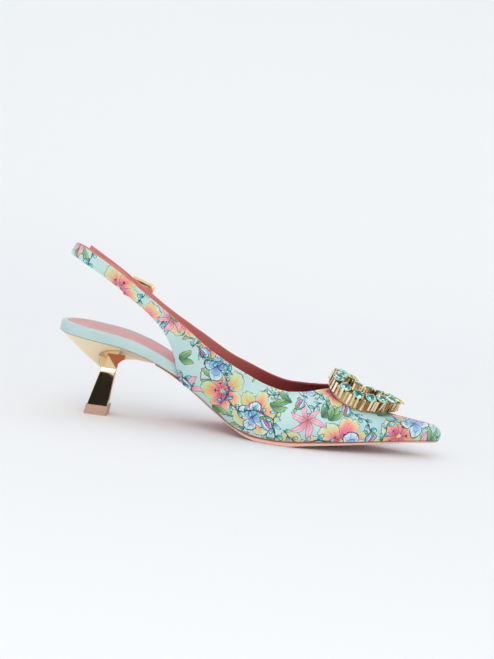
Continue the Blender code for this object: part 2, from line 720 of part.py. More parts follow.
def make_buckle(group):
    place, along, across, out = strap_frame("arm_buckle", "tail")
    turn = Matrix.Rotation(-math.radians(BUCKLE_TURN), 3, out)
    along, across = turn @ along, turn @ across
    outlines = [rounded_rectangle(BUCKLE_LONG - inset, BUCKLE_WIDE - inset, BUCKLE_CORNER)
                for inset in (-BUCKLE_BAND, 0.0, BUCKLE_BAND)]
    vertices = []
    for outer, middle, inner in zip(*outlines):
        for (a, b), lift in ((outer, 0.0), (middle, -0.5), (inner, 0.0), (middle, 0.5)):
            vertices.append(place + along * a + across * b + out * (BUCKLE_LIFT + BUCKLE_DEEP * lift))
    mesh = mesh_from(vertices, band_faces(len(outlines[0])), "buckle_frame", FACET_ANGLE)
    add_object("buckle_frame", mesh, "gold", group)
    high = BUCKLE_LIFT + BUCKLE_DEEP / 2.0 + PRONG_WIRE + GAP
    reach = BUCKLE_LONG / 2.0
    points = [place + along * a + out * high for a in (-reach, reach + PRONG_OVERHANG)]
    add_object("buckle_prong", wire_mesh("buckle_prong", points, PRONG_WIRE), "gold", group)


# Heart brooch

def heart_top(x, y):
    """The height of the stones' tables: the heart follows the vamp to the toe and bends over its ridge."""
    return HEART_TOP + HEART_PITCH * (x - HEART_TOP_X) - y * y / (2.0 * HEART_BEND)


def heart_base(x, y):
    """The height of the settings' feet, just clear of the vamp's ridge."""
    return BASE_TOP + BASE_PITCH * (x - HEART_TOP_X) - y * y / (2.0 * BASE_BEND)


def below_girdle(plan, fall):
    """The place in plan of a setting's wall at some depth below the girdles."""
    return plan - np.array([-HEART_PITCH, SETTING_SPLAY * plan[1] / HEART_BEND]) * fall


def heart_loop(count):
    """Evenly spaced points round the heart and their outward plan normals, from the notch on."""
    half = np.stack([HEART["x"], HEART["y"]], 1)
    mirror = half[-2:0:-1] * (1.0, -1.0)
    loop = np.concatenate([half, mirror])
    wrapped = np.concatenate([loop[-2:], loop, loop[:3]])
    fine = spline(wrapped, HEART_STEPS)[2 * HEART_STEPS:-2 * HEART_STEPS]
    length = np.concatenate([[0.0], np.cumsum(np.linalg.norm(np.diff(fine, axis=0), axis=1))])
    place = np.arange(count) / count * length[-1]
    points = np.stack([np.interp(place, length, fine[:, k]) for k in (0, 1)], 1)
    along = np.roll(points, -1, axis=0) - np.roll(points, 1, axis=0)
    out = np.stack([-along[:, 1], along[:, 0]], 1)
    return points, out / np.linalg.norm(out, axis=1)[:, None]


def make_brooch_frame(group):
    """The row of claw settings as one ring, whose inner and outer walls stand out at each claw."""
    count = HEART_STONES * CLAWS_PER_STONE * CLAW_STEPS
    fall = PAVILION_HEIGHT + 2.0 * GAP
    points, out = heart_loop(count)
    vertices = []
    for i, (point, normal) in enumerate(zip(points, out)):
        half = FRAME_WIDTH / 2.0 + (CLAW_RELIEF if i % CLAW_STEPS < CLAW_STEPS / 2 else 0.0)
        walls = (point - normal * half, point + normal * half)
        feet = [below_girdle(plan, SETTING_HEIGHT) for plan in walls]
        vertices.extend((*foot, heart_base(*foot)) for foot in feet)
        for plan in walls[::-1]:
            vertices.append((*below_girdle(plan, fall), heart_top(*plan) - CROWN_HEIGHT - fall))
    mesh = mesh_from(vertices, band_faces(count), "brooch_frame", FACET_ANGLE)
    return add_object("brooch_frame", mesh, "gold", group)


def stone_mesh(name, pear):
    """A cut stone: a table, a crown that widens to the girdle and a pavilion that ends blunt."""
    work = bmesh.new()
    radius = STONE_RADIUS * MM
    crown = CROWN_HEIGHT * MM
    bmesh.ops.create_cone(work, cap_ends=True, segments=STONE_SIDES, radius1=radius,
                          radius2=radius * STONE_TABLE, depth=crown,
                          matrix=Matrix.Translation((0.0, 0.0, crown / 2.0)))
    base = min(work.faces, key=lambda face: face.calc_center_median().z)
    culet = bmesh.ops.extrude_face_region(work, geom=[base])["geom"]
    low = [item for item in culet if isinstance(item, bmesh.types.BMVert)]
    bmesh.ops.delete(work, geom=[base], context="FACES_ONLY")
    for vertex in low:
        vertex.co = Vector((vertex.co.x * STONE_CULET, vertex.co.y * STONE_CULET, -PAVILION_HEIGHT * MM))
    if pear:
        for vertex in work.verts:
            reach = max(vertex.co.x, 0.0) / radius
            vertex.co.x += PEAR_STRETCH * reach**2 * radius
            vertex.co.y *= 1.0 - PEAR_TAPER * reach
    bmesh.ops.recalc_face_normals(work, faces=work.faces)
    mesh = bpy.data.meshes.new(name)
    work.to_mesh(mesh)
    work.free()
    return mesh


def make_stones(group):
    points, _ = heart_loop(HEART_STONES)
    round_stone = stone_mesh("round_stone", False)
    pear_stone = stone_mesh("pear_stone", True)
    number = 0
    for i, point in enumerate(points):
        pear = i in (0, HEART_STONES // 2)
        if pear:
            name = "stone_pear_back" if i == 0 else "stone_pear_front"
        else:
            number += 1
            name = f"stone_{number:02d}"
        mesh, finish_name = (pear_stone, "lime_stone") if pear else (round_stone, "aqua_stone")
        piece = add_object(name, mesh, finish_name, group)
        up = Vector((-HEART_PITCH, point[1] / HEART_BEND, 1.0)).normalized()
        ahead = (Vector((1.0, 0.0, 0.0)) - up * up.x).normalized()
        turn = Matrix((ahead, up.cross(ahead), up)).transposed().to_4x4()
        place = np.array([*point, heart_top(*point) - CROWN_HEIGHT]) * GRADE * MM
        piece.matrix_world = Matrix.Translation(place) @ turn


# Assembly

def centre_on_floor(pieces):
    """An empty that carries every piece, so that the origin is the middle of the shoe's bottom."""
    bpy.context.view_layer.update()
    depsgraph = bpy.context.evaluated_depsgraph_get()
    corners = []
    for piece in pieces:
        ready = piece.evaluated_get(depsgraph)
        corners.extend(ready.matrix_world @ vertex.co for vertex in ready.data.vertices)
    low = Vector(min(corner[k] for corner in corners) for k in range(3))
    high = Vector(max(corner[k] for corner in corners) for k in range(3))
    carrier = bpy.data.objects.new("slingback_pump_origin", None)
    bpy.context.scene.collection.objects.link(carrier)
    for piece in pieces:
        piece.parent = carrier
    carrier.location = (-(low.x + high.x) / 2.0, -(low.y + high.y) / 2.0, -low.z)
    bpy.context.view_layer.update()


def main():
    clear_scene()
    shoe = new_collection("slingback_pump")
    cutters = new_collection("cutters")
    make_outsole(shoe)
    make_footbed(shoe)
    make_sock(shoe)
    make_upper(shoe)
    make_heel(shoe, cutters)
    make_heel_tip(shoe)
    make_buckle(shoe)
    make_brooch_frame(shoe)
    make_stones(shoe)
    centre_on_floor(list(shoe.objects))
    for cutter in cutters.objects:
        cutter.parent = bpy.data.objects["slingback_pump_origin"]


main()
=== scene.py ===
"""Looks of the slingback pump: printed satin upper, leather sock and sole, gold heel, buckle, heart brooch.

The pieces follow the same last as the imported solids. Its tables are in millimetres, x from the back of the
heel to the toe, y to the lateral side, z up from the floor, and place() carries them into the frame.
"""
import math
from collections import namedtuple
from functools import partial, partialmethod

import bmesh
import bpy
import numpy as np
from mathutils import Matrix, Vector


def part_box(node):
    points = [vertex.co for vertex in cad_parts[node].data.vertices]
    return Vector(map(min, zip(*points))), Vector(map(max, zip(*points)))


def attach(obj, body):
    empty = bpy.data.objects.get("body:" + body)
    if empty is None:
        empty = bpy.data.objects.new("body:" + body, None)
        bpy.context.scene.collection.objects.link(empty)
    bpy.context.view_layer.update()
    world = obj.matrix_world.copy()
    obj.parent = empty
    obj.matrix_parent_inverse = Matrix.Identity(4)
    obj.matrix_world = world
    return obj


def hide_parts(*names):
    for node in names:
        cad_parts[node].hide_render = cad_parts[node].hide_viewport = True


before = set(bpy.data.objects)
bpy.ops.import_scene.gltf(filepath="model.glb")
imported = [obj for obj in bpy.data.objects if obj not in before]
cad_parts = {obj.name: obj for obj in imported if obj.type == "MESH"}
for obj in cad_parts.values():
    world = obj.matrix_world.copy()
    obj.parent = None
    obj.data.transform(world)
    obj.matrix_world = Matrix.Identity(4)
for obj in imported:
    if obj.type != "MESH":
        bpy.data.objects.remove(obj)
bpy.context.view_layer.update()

MM = 0.001

# The last, as in the part's source
WALL = 1.6
GAP = 0.3
SOCK_THICK = 0.9
FOOT_CLEAR = WALL + 2.0 * GAP
STRAP_LEAN = 0.5
WELL_DEPTH = GAP + SOCK_THICK
WELL_CLEAR = GAP / 2.0
SOLE_BACK = 67.2
OUTLINE_STEPS = 10

# Heart brooch, as in the part's source
HEART_TOP = 45.8
HEART_TOP_X = 199.0
HEART_PITCH = -0.36
HEART_BEND = 44.0
HEART_STONES = 16
HEART_STEPS = 40
SETTING_HEIGHT = 7.5
SETTING_SPLAY = 0.5
FRAME_WIDTH = 6.0
BASE_TOP = 36.2
BASE_PITCH = -0.35
BASE_BEND = 31.0
STONE_RADIUS = 3.75
STONE_TILT = 1.35
CROWN_HEIGHT = 1.5
PAVILION_HEIGHT = 1.3
PEAR_STRETCH = 0.55
PEAR_TAPER = 0.45


def columns(names, *rows):
    """A short table: a dict of arrays, one for each named column."""
    return dict(zip(names.split(), np.array(rows, float).T))


BOARD = columns(
    "x      medial lateral  under  thick",
    (0.0,     0.0,   0.0,   52.7,   7.0),
    (2.2,     9.5,   9.5,   52.6,   7.0),
    (8.0,    18.0,  18.0,   52.3,   7.0),
    (17.0,   23.4,  23.4,   51.5,   7.0),
    (27.0,   25.0,  25.0,   50.4,   7.0),
    (42.0,   24.0,  25.2,   48.4,   7.0),
    (57.0,   21.2,  25.6,   44.3,   7.0),
    (71.0,   18.8,  26.2,   38.6,   6.9),
    (85.0,   17.4,  26.8,   31.0,   6.6),
    (98.0,   17.6,  27.8,   22.8,   5.6),
    (112.0,  20.4,  30.0,   13.8,   4.4),
    (125.0,  26.0,  33.0,    6.7,   3.6),
    (137.0,  32.2,  35.4,    3.7,   3.2),
    (149.0,  35.4,  36.0,    3.3,   3.0),
    (162.0,  36.2,  35.0,    3.9,   3.0),
    (176.0,  34.8,  32.0,    5.4,   2.8),
    (192.0,  30.6,  27.0,    6.9,   2.6),
    (208.0,  24.4,  21.0,    8.4,   2.5),
    (224.0,  17.0,  14.4,    9.8,   2.4),
    (238.0,  10.6,   8.8,   11.0,   2.3),
    (248.0,   5.9,   5.0,   11.6,   2.2),
    (253.5,   3.1,   2.7,   11.8,   2.2),
    (256.0,   0.0,   0.0,   11.9,   2.2),
)

SOLE = columns(
    "x      under  reach",
    (62.0,  40.7,  -1.6),
    (71.0,  37.0,  -1.2),
    (85.0,  29.3,  -0.2),
    (98.0,  20.9,   0.8),
    (107.0, 14.7,   1.2),
    (116.0,  9.2,   1.3),
    (125.0,  4.2,   1.4),
    (133.0,  1.3,   1.5),
    (140.0,  0.0,   1.5),
    (158.0,  0.0,   1.5),
    (168.0,  1.4,   1.5),
    (180.0,  3.0,   1.5),
    (200.0,  5.1,   1.4),
    (220.0,  7.0,   1.2),
    (238.0,  8.9,   1.0),
    (256.0,  9.9,   1.0),
)

SOCK = columns(
    "x      inset",
    (0.0,   4.8),
    (100.0, 4.8),
    (135.0, 1.4),
    (256.0, 1.4),
)

# Ribs of the upper, as in the part's source
Rib = namedtuple("Rib", "name top_x top_y top_z foot_x foot_y foot_z dip reach flare rise sag",
                 defaults=(0.0,))
RIBS = (
    Rib("sling_end",      46.0,  18.9,  85.2,   41.6,  18.7,  78.3, 90,  2.6,  0,  2.6),
    Rib("sling_lateral",  34.0,  16.9,  94.4,   30.0,  16.6,  87.0, 90,  2.8,  0,  2.8),
    Rib("sling_turn",     17.6,  13.4, 103.2,   13.6,  13.0,  95.4, 90,  2.8,  0,  2.8),
    Rib("sling_corner",    8.6,   8.0, 108.6,    5.2,   7.6, 101.2, 90,  2.8,  0,  2.8),
    Rib("sling_back",      4.4,   0.0, 110.8,    1.6,   0.0, 103.4, 90,  2.8,  0,  2.8),
    Rib("strap_corner",    7.8,  -8.6, 110.2,    4.7,  -8.2, 102.9, 90,  2.8,  0,  2.8),
    Rib("strap_turn",     16.4, -14.4, 106.6,   12.9, -13.8,  99.4, 90,  2.8,  0,  2.8),
    Rib("strap_middle",   32.0, -18.8,  98.8,   28.4, -18.2,  91.8, 90,  2.8,  0,  2.8),
    Rib("strap_front",    49.0, -22.2,  88.6,   44.6, -21.4,  82.2, 90,  2.8,  0,  2.8),
    Rib("strap_root",     64.0, -25.4,  79.6,   57.6, -24.0,  74.0, 90,  3.0,  2,  3.0),
    Rib("quarter_top",    74.0, -27.3,  73.2,   67.2, -25.2,  66.0, 89,  3.6,  4,  3.6),
    Rib("quarter_back",   82.5, -28.6,  67.8,   74.0, -24.4,  57.2, 89,  5.0,  8,  5.0),
    Rib("quarter_fall",   88.5, -29.4,  63.8,   79.0, -21.6,  46.0, 89,  8.0, 14,  8.0),
    Rib("quarter_corner", 94.0, -30.0,  60.2,   83.4,  None,  None, 89, 10.0, 20, 10.0),
    Rib("waist",         104.0, -30.9,  54.0,   97.0,  None,  None, 90, 10.0, 24, 11.0),
    Rib("shank",         115.0, -31.5,  48.2,  111.0,  None,  None, 90, 10.0, 26, 12.0),
    Rib("break",         127.0, -31.6,  42.8,  126.0,  None,  None, 88,  9.0, 26, 13.0),
    Rib("joint",         140.0, -30.8,  37.6,  141.0,  None,  None, 80,  8.0, 26, 14.0),
    Rib("ball",          152.0, -28.6,  34.8,  156.5,  None,  None, 62,  8.0, 26, 14.0),
    Rib("vamp_side",     164.5, -23.6,  35.0,  175.0,  None,  None, 38, 10.0, 25, 16.0),
    Rib("vamp",          175.5, -16.6,  37.0,  197.0,  None,  None, 27, 15.0, 24, 18.0),
    Rib("toe_side",      183.6,  -9.6,  38.6,  222.0,  None,  None, 29, 24.0, 22, 18.0,  2.5),
    Rib("toe",           187.8,  -4.4,  39.4,  243.0,  None,  None, 33, 29.0, 19, 19.0,  7.0),
    Rib("tip_side",      188.7,  -1.9,  39.6,  252.6,  None,  None, 34, 30.0, 13, 22.5, 11.0),
    Rib("tip",           189.0,   0.0,  39.7,  256.0,  None,  None, 34, 30.0, 11, 24.6, 12.8),
    Rib("tip_lateral",   188.7,   1.9,  39.6,  252.6,  None,  None, 34, 30.0, 13, 22.5, 11.0),
    Rib("toe_lateral",   187.8,   4.4,  39.3,  243.0,  None,  None, 33, 29.0, 19, 19.0,  7.0),
    Rib("toe_out",       183.6,   9.4,  38.4,  222.0,  None,  None, 29, 24.0, 22, 18.0,  2.5),
    Rib("vamp_out",      175.5,  16.0,  36.7,  197.0,  None,  None, 27, 15.0, 24, 18.0),
    Rib("side_out",      164.5,  22.8,  35.3,  175.0,  None,  None, 40, 10.0, 24, 16.0),
    Rib("ball_out",      152.0,  27.6,  34.9,  155.0,  None,  None, 66,  8.0, 24, 13.5),
    Rib("joint_out",     140.0,  29.8,  37.5,  139.5,  None,  None, 84,  8.0, 22, 13.0),
    Rib("break_out",     127.0,  30.4,  42.1,  125.0,  None,  None, 92,  9.0, 18, 13.0),
    Rib("shank_out",     115.0,  30.0,  46.6,  110.5,  None,  None, 94, 10.0, 14, 12.0),
    Rib("waist_out",     104.0,  29.0,  52.4,   97.0,  None,  None, 94, 10.0, 10, 11.0),
    Rib("corner_out",     94.0,  27.8,  58.2,   83.4,  None,  None, 94, 10.0,  6, 10.0),
    Rib("fall_out",       88.5,  27.0,  61.2,   79.0,  28.3,  45.2, 92,  8.0,  2,  8.0),
    Rib("back_out",       82.5,  26.2,  64.7,   74.0,  26.6,  55.4, 90,  5.0,  0,  5.0),
    Rib("quarter_out",    74.0,  25.0,  69.5,   67.2,  25.0,  63.1, 90,  3.6,  0,  3.6),
    Rib("arm_root",       64.0,  23.8,  75.6,   57.8,  23.4,  70.3, 90,  3.0,  0,  3.0),
    Rib("arm_buckle",     49.0,  22.2,  85.8,   44.6,  22.0,  79.2, 90,  2.8,  0,  2.8),
    Rib("tail",           30.0,  20.6,  97.9,   26.2,  20.4,  91.0, 90,  2.8,  0,  2.8),
    Rib("tail_end",       12.0,  17.4, 108.6,    8.4,  17.0, 101.4, 90,  2.8,  0,  2.8),
)
RIB_NAMED = {rib.name: rib for rib in RIBS}

HEART = columns(
    "x       y",
    (195.1,   0.0),
    (190.4,   4.7),
    (186.2,  12.0),
    (189.4,  19.4),
    (198.1,  22.4),
    (208.4,  19.8),
    (218.6,  11.8),
    (226.8,   0.0),
)

# Details: millimetres, counts and shares; the buckle's turn in degrees, the bars' yaw and lean in radians
COLUMNS_PER_RIB = 10
WALL_ROWS = 30
EDGE_ROWS = 5
EDGE_ROUND = 0.45
EDGE_TURN = 2.1
LINED_EDGE = 4
STITCH_INSET = 1.5
STITCH_PITCH = 2.1
STITCH_LONG = 1.5
STITCH_RADIUS = 0.14
FEATHER_RADIUS = 0.75
FEATHER_OUT = 1.75
SOCK_CLEAR = 0.3
SOCK_COLUMNS = 41
SOCK_EDGE = 0.06
FOLD_LONG = 14.8
FOLD_THICK = 1.1
FOLD_GAP = 0.08
FOLD_WALL = 0.95
FOLD_STRETCH = 1.25
FOLD_STEPS = 13
FOLD_PRINT = 150.0
HOLE_RADIUS = 0.8
HOLE_PITCH = 6.0
HOLE_RIM = 0.16
HOLE_SIDES = 20
NOTCH_BACK = 32.9
NOTCH_FRONT = 44.4
NOTCH_LEAN = 2.2
NOTCH_HALF = 5.4
NOTCH_FLOOR = 31.5
NOTCH_LIP = 42.8
# Where the notch's painted reflections turn from cream to red-brown, and the slope of that line
NOTCH_TURN = (33.5, 0.0, 41.0)
NOTCH_SLOPE = 1.33
BUCKLE_LONG = 15.6
BUCKLE_WIDE = 11.4
BUCKLE_BAND = 3.0
BUCKLE_DEEP = 1.8
BUCKLE_CORNER = 1.8
BUCKLE_LIFT = 3.0 * GAP + BUCKLE_DEEP / 2.0
BUCKLE_TURN = 14.0
PRONG_WIRE = 0.7
PRONG_END = 1.12
PRONG_SAG = 0.45
PRONG_TAPER = 0.35
RUN_THICK = 0.75
RUN_BOW = 1.1
RUN_PRINT = 170.0
BARS_PER_STONE = 4
BAR_WIDE = 1.85
BAR_DEEP = 0.85
BAR_CUT = 0.3
BAR_YAW = 0.36
BAR_LEAN = 0.12

# The photograph's frame and the camera's angles to the shoe, degrees
IMAGE_HEIGHT = 659
FOCAL_PIXELS = 2122.0
CAMERA_AZIMUTH = 2.0
CAMERA_ELEVATION = 6.5
CAMERA_ROLL = 7.2
CAMERA_DISTANCE = 1400.0
CAMERA_TARGET = (122.9, 0.0, 68.1)
SENSOR = 36.0


# Curves through tables

def hermite(start, end, leave, arrive, span, t):
    """The cubic between two values with the given slopes at its ends."""
    return ((2 * t**3 - 3 * t**2 + 1) * start + (t**3 - 2 * t**2 + t) * span * leave
            + (3 * t**2 - 2 * t**3) * end + (t**3 - t**2) * span * arrive)


def profile(x, value):
    """A monotone cubic through a table's column, so that a flat stretch stays flat."""
    step = np.diff(x)
    slope = np.diff(value) / step
    tangent = np.empty_like(value)
    tangent[0], tangent[-1] = slope[0], slope[-1]
    for i in range(1, len(x) - 1):
        before, after = slope[i - 1], slope[i]
        if before * after <= 0.0:
            tangent[i] = 0.0
        else:
            w1 = 2.0 * step[i] + step[i - 1]
            w2 = step[i] + 2.0 * step[i - 1]
            tangent[i] = (w1 + w2) / (w1 / before + w2 / after)

    def at(place_x):
        place_x = min(max(place_x, x[0]), x[-1])
        i = min(int(np.searchsorted(x, place_x, side="right")) - 1, len(x) - 2)
        share = (place_x - x[i]) / step[i]
        return hermite(value[i], value[i + 1], tangent[i], tangent[i + 1], step[i], share)
    return at


def run_length(points):
    """How far along a line each of its points lies."""
    return np.concatenate([[0.0], np.cumsum(np.linalg.norm(np.diff(points, axis=0), axis=1))])


def between(spot, places, rows):
    """The row at a spot between the places of a line's rows."""
    return np.array([np.interp(spot, places, rows[:, k]) for k in range(rows.shape[1])])


def spline(points, per_span, key=None):
    """Samples of a smooth curve through rows of numbers, spaced by the distance between the key columns."""
    points = np.asarray(points, float)
    step = np.diff(run_length(points if key is None else points[:, key]))
    slope = np.diff(points, axis=0) / step[:, None]
    tangent = np.empty_like(points)
    tangent[0], tangent[-1] = slope[0], slope[-1]
    for i in range(1, len(points) - 1):
        tangent[i] = (slope[i - 1] * step[i] + slope[i] * step[i - 1]) / (step[i - 1] + step[i])
    samples = []
    for i in range(len(points) - 1):
        for t in np.arange(per_span) / per_span:
            samples.append(hermite(points[i], points[i + 1], tangent[i], tangent[i + 1], step[i], t))
    samples.append(points[-1])
    return np.array(samples)


def unit(vectors):
    """Vectors made one long."""
    vectors = np.asarray(vectors, float)
    return vectors / np.maximum(np.linalg.norm(vectors, axis=-1, keepdims=True), 1e-9)


# The board's plan

def board_outline():
    """Medial and lateral edges of the board in plan, from heel to toe, with the same number of points."""
    medial = np.stack([BOARD["x"], -BOARD["medial"]], 1)
    lateral = np.stack([BOARD["x"], BOARD["lateral"]], 1)
    loop = np.concatenate([lateral[1:2], medial, lateral[-2:-1]])
    near = spline(loop, OUTLINE_STEPS)[OUTLINE_STEPS:-OUTLINE_STEPS]
    loop = np.concatenate([medial[1:2], lateral, medial[-2:-1]])
    far = spline(loop, OUTLINE_STEPS)[OUTLINE_STEPS:-OUTLINE_STEPS]
    return near, far


def edge_normals(edge, side):
    """Outward plan normals of one edge; at heel and toe they point straight back and ahead."""
    along = np.gradient(edge, axis=0)
    out = unit(np.stack([-along[:, 1], along[:, 0]], 1) * side)
    out[0], out[-1] = (-1.0, 0.0), (1.0, 0.0)
    return out


TOE = BOARD["x"][-1]
NEAR, FAR = board_outline()
NEAR_OUT, FAR_OUT = edge_normals(NEAR, -1.0), edge_normals(FAR, 1.0)
under_board = profile(BOARD["x"], BOARD["under"])
board_thick = profile(BOARD["x"], BOARD["thick"])
under_sole = profile(SOLE["x"], SOLE["under"])
sole_reach = profile(SOLE["x"], SOLE["reach"])
sock_inset = profile(SOCK["x"], SOCK["inset"])

# From the last to the frame: the board's heel end and its medial edge are known in both
BOARD_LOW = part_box("footbed")[0]
SHIFT = np.array([BOARD_LOW.x, BOARD_LOW.y - NEAR[:, 1].min() * MM, 0.0])


def board_top(x):
    """The height of the board's upper face."""
    return under_board(x) + board_thick(x)


def board_edge(x, side):
    """The board's edge at x and its outward normal, on the medial side (-1) or the lateral side (1)."""
    edge, out = (NEAR, NEAR_OUT) if side < 0 else (FAR, FAR_OUT)
    point = np.array([x, np.interp(x, edge[:, 0], edge[:, 1])])
    normal = between(x, edge[:, 0], out)
    return point, normal / np.linalg.norm(normal)


def place(points):
    """Millimetres on the last to metres in the frame."""
    return np.asarray(points, float) * MM + SHIFT


# Objects

def add_piece(name, mesh, materials, replaced=()):
    """Links a mesh as a piece that rides on the shoe."""
    piece = bpy.data.objects.new(name, mesh)
    bpy.context.scene.collection.objects.link(piece)
    for material in materials:
        mesh.materials.append(material)
    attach(piece, "root")
    if replaced:
        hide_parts(*replaced)
    return piece


def mesh_from(name, points, faces, material_index=None, smooth_angle=40.0):
    """A mesh from millimetre points on the last, smooth below an angle."""
    mesh = bpy.data.meshes.new(name)
    mesh.from_pydata([tuple(p) for p in place(points)], [], [tuple(face) for face in faces])
    if material_index is not None:
        mesh.polygons.foreach_set("material_index", np.asarray(material_index, np.int32))
    mesh.shade_smooth()
    mesh.set_sharp_from_angle(angle=math.radians(smooth_angle))
    return mesh


def tidy_mesh(mesh, weld=1e-6):
    """Joins coincident points, where a weld is given, and turns the faces out."""
    work = bmesh.new()
    work.from_mesh(mesh)
    if weld:
        bmesh.ops.remove_doubles(work, verts=work.verts, dist=weld)
        bmesh.ops.dissolve_degenerate(work, edges=work.edges, dist=weld)
    bmesh.ops.recalc_face_normals(work, faces=work.faces)
    work.to_mesh(mesh)
    work.free()


def lay_print(mesh, pattern):
    """Gives a mesh's points their places on the flat printed cloth, in millimetres."""
    layer = mesh.attributes.new("flat_pattern", "FLOAT_VECTOR", "POINT")
    layer.data.foreach_set("vector", np.asarray(pattern, np.float32).reshape(-1))


def give_tones(mesh, name, tones):
    """Gives each face of a mesh a tone for its material to read."""
    layer = mesh.attributes.new(name, "FLOAT", "FACE")
    layer.data.foreach_set("value", np.array(tones, np.float32))


def band_faces(count, around, closed=True):
    """The faces of a band of sections of so many points; a closed one joins its last to its first."""
    faces = []
    for i in range(count if closed else count - 1):
        after = (i + 1) % count
        for k in range(around):
            turn = (k + 1) % around
            faces.append((i * around + k, i * around + turn, after * around + turn, after * around + k))
    return faces


def tube(path, radius, sides, closed=False, flatten=1.0, up=(0.0, 0.0, 1.0)):
    """Points and faces of a tube along a path; flatten squeezes it along its up side."""
    path = np.asarray(path, float)
    count = len(path)
    if closed:
        along = np.roll(path, -1, axis=0) - np.roll(path, 1, axis=0)
    else:
        along = np.gradient(path, axis=0)
    along = unit(along)
    side = unit(np.cross(along, up))
    top = np.cross(side, along)
    radius = np.broadcast_to(np.asarray(radius, float), (count,))
    points = []
    for k in range(sides):
        turn = math.tau * (k + 0.5) / sides
        wide, high = math.cos(turn), math.sin(turn) * flatten
        points.append(path + (side * wide + top * high) * radius[:, None])
    faces = [(a, d, c, b) for a, b, c, d in band_faces(count, sides, closed)]
    if not closed:
        faces.append(tuple(range(sides)))
        faces.append(tuple((count - 1) * sides + k for k in range(sides - 1, -1, -1)))
    return np.stack(points, 1).reshape(-1, 3), faces


def join(parts):
    """One list of points and faces from several."""
    points, faces, start = [], [], 0
    for some_points, some_faces in parts:
        points.append(np.asarray(some_points, float))
        faces.extend(tuple(index + start for index in face) for face in some_faces)
        start += len(some_points)
    return np.concatenate(points), faces


# Shader formulas

def srgb(red, green, blue):
    """A colour on the usual 0 to 255 scale as linear light."""
    values = np.array([red, green, blue]) / 255.0
    linear = np.where(values <= 0.04045, values / 12.92, ((values + 0.055) / 1.055) ** 2.4)
    return tuple(float(v) for v in linear)


def feed(tree, socket, item):
    """Links a formula's value or a node's output to a socket, or sets a plain number or colour there."""
    if isinstance(item, Value):
        tree.links.new(item.socket, socket)
    elif isinstance(item, bpy.types.NodeSocket):
        tree.links.new(item, socket)
    else:
        socket.default_value = (*item, 1.0) if isinstance(item, tuple) else item


def add_node(tree, kind, **inputs):
    """A shader node with its named inputs fed."""
    node = tree.nodes.new("ShaderNode" + kind)
    for name, item in inputs.items():
        feed(tree, node.inputs[name.replace("_", " ")], item)
    return node


class Value:
    """A number in a shader; formulas with it build Math nodes."""

    def __init__(self, tree, socket):
        self.tree = tree
        self.socket = socket

    def math(self, operation, *others):
        """The result of a Math node with this number first."""
        node = add_node(self.tree, "Math")
        node.operation = operation
        for socket, item in zip(node.inputs, (self, *others)):
            feed(self.tree, socket, item)
        return Value(self.tree, node.outputs[0])

    __add__ = partialmethod(math, "ADD")
    __sub__ = partialmethod(math, "SUBTRACT")
    __mul__ = partialmethod(math, "MULTIPLY")
    __truediv__ = partialmethod(math, "DIVIDE")
    __abs__ = partialmethod(math, "ABSOLUTE")
    sin = partialmethod(math, "SINE")
    cos = partialmethod(math, "COSINE")
    root = partialmethod(math, "SQRT")
    angle = partialmethod(math, "ARCTAN2")
    floor = partialmethod(math, "FLOOR")
    fract = partialmethod(math, "FRACT")
    power = partialmethod(math, "POWER")
    least = partialmethod(math, "MINIMUM")
    most = partialmethod(math, "MAXIMUM")

    def rise(self, low, high):
        """0 below low, 1 above high and smooth between."""
        node = add_node(self.tree, "MapRange", Value=self, From_Min=low, From_Max=high)
        node.interpolation_type = "SMOOTHSTEP"
        return Value(self.tree, node.outputs["Result"])

    def fall(self, low, high):
        """1 below low, 0 above high and smooth between."""
        return self.rise(low, high) * -1.0 + 1.0

    def ramp(self, *stops):
        """A colour that runs through stops of (place, colour)."""
        node = add_node(self.tree, "ValToRGB", Fac=self)
        marks = node.color_ramp.elements
        while len(marks) < len(stops):
            marks.new(1.0)
        for mark, (spot, colour) in zip(marks, stops):
            mark.position = spot
            mark.color = (*colour, 1.0)
        return node.outputs["Color"]


def over(tree, base, paint, mask):
    """Paints a colour over another where the mask is 1; each colour is a socket or a tuple."""
    node = add_node(tree, "Mix", Factor=mask)
    node.data_type = "RGBA"
    # The sockets of the two colours have the same names as those of plain numbers, so they go by number
    feed(tree, node.inputs[6], base)
    feed(tree, node.inputs[7], paint)
    return node.outputs[2]


def split_colour(tree, colour):
    """The three channels of a colour."""
    return [Value(tree, socket) for socket in add_node(tree, "SeparateColor", Color=colour).outputs]


def split_vector(tree, vector):
    """The three numbers of a vector."""
    return [Value(tree, socket) for socket in add_node(tree, "SeparateXYZ", Vector=vector).outputs]


def carried(tree, name):
    """The outputs of what a mesh carries under a name."""
    node = add_node(tree, "Attribute")
    node.attribute_name = name
    return node.outputs


def noise(tree, vector, scale, detail=2.0):
    """A noise texture's value about 0.5, and its three channels."""
    node = add_node(tree, "TexNoise", Vector=vector, Scale=scale, Detail=detail)
    return Value(tree, node.outputs["Fac"]), split_colour(tree, node.outputs["Color"])


def bump(tree, shader, height, strength, distance):
    """Fine relief on a material from a formula for its height."""
    node = add_node(tree, "Bump", Height=height, Strength=strength, Distance=distance)
    feed(tree, shader.inputs["Normal"], node.outputs["Normal"])


def new_material(name, **values):
    """A Principled material with uniform values set on its sockets."""
    material = bpy.data.materials.new(name)
    material.use_nodes = True
    tree = material.node_tree
    shader = tree.nodes["Principled BSDF"]
    for key, value in values.items():
        feed(tree, shader.inputs[key.replace("_", " ").title().replace("Ior", "IOR")], value)
    return material, tree, shader


def object_vector(tree):
    """The place that is shaded, in the piece's own frame."""
    return add_node(tree, "TexCoord").outputs["Object"]


# Leathers, metals and stones

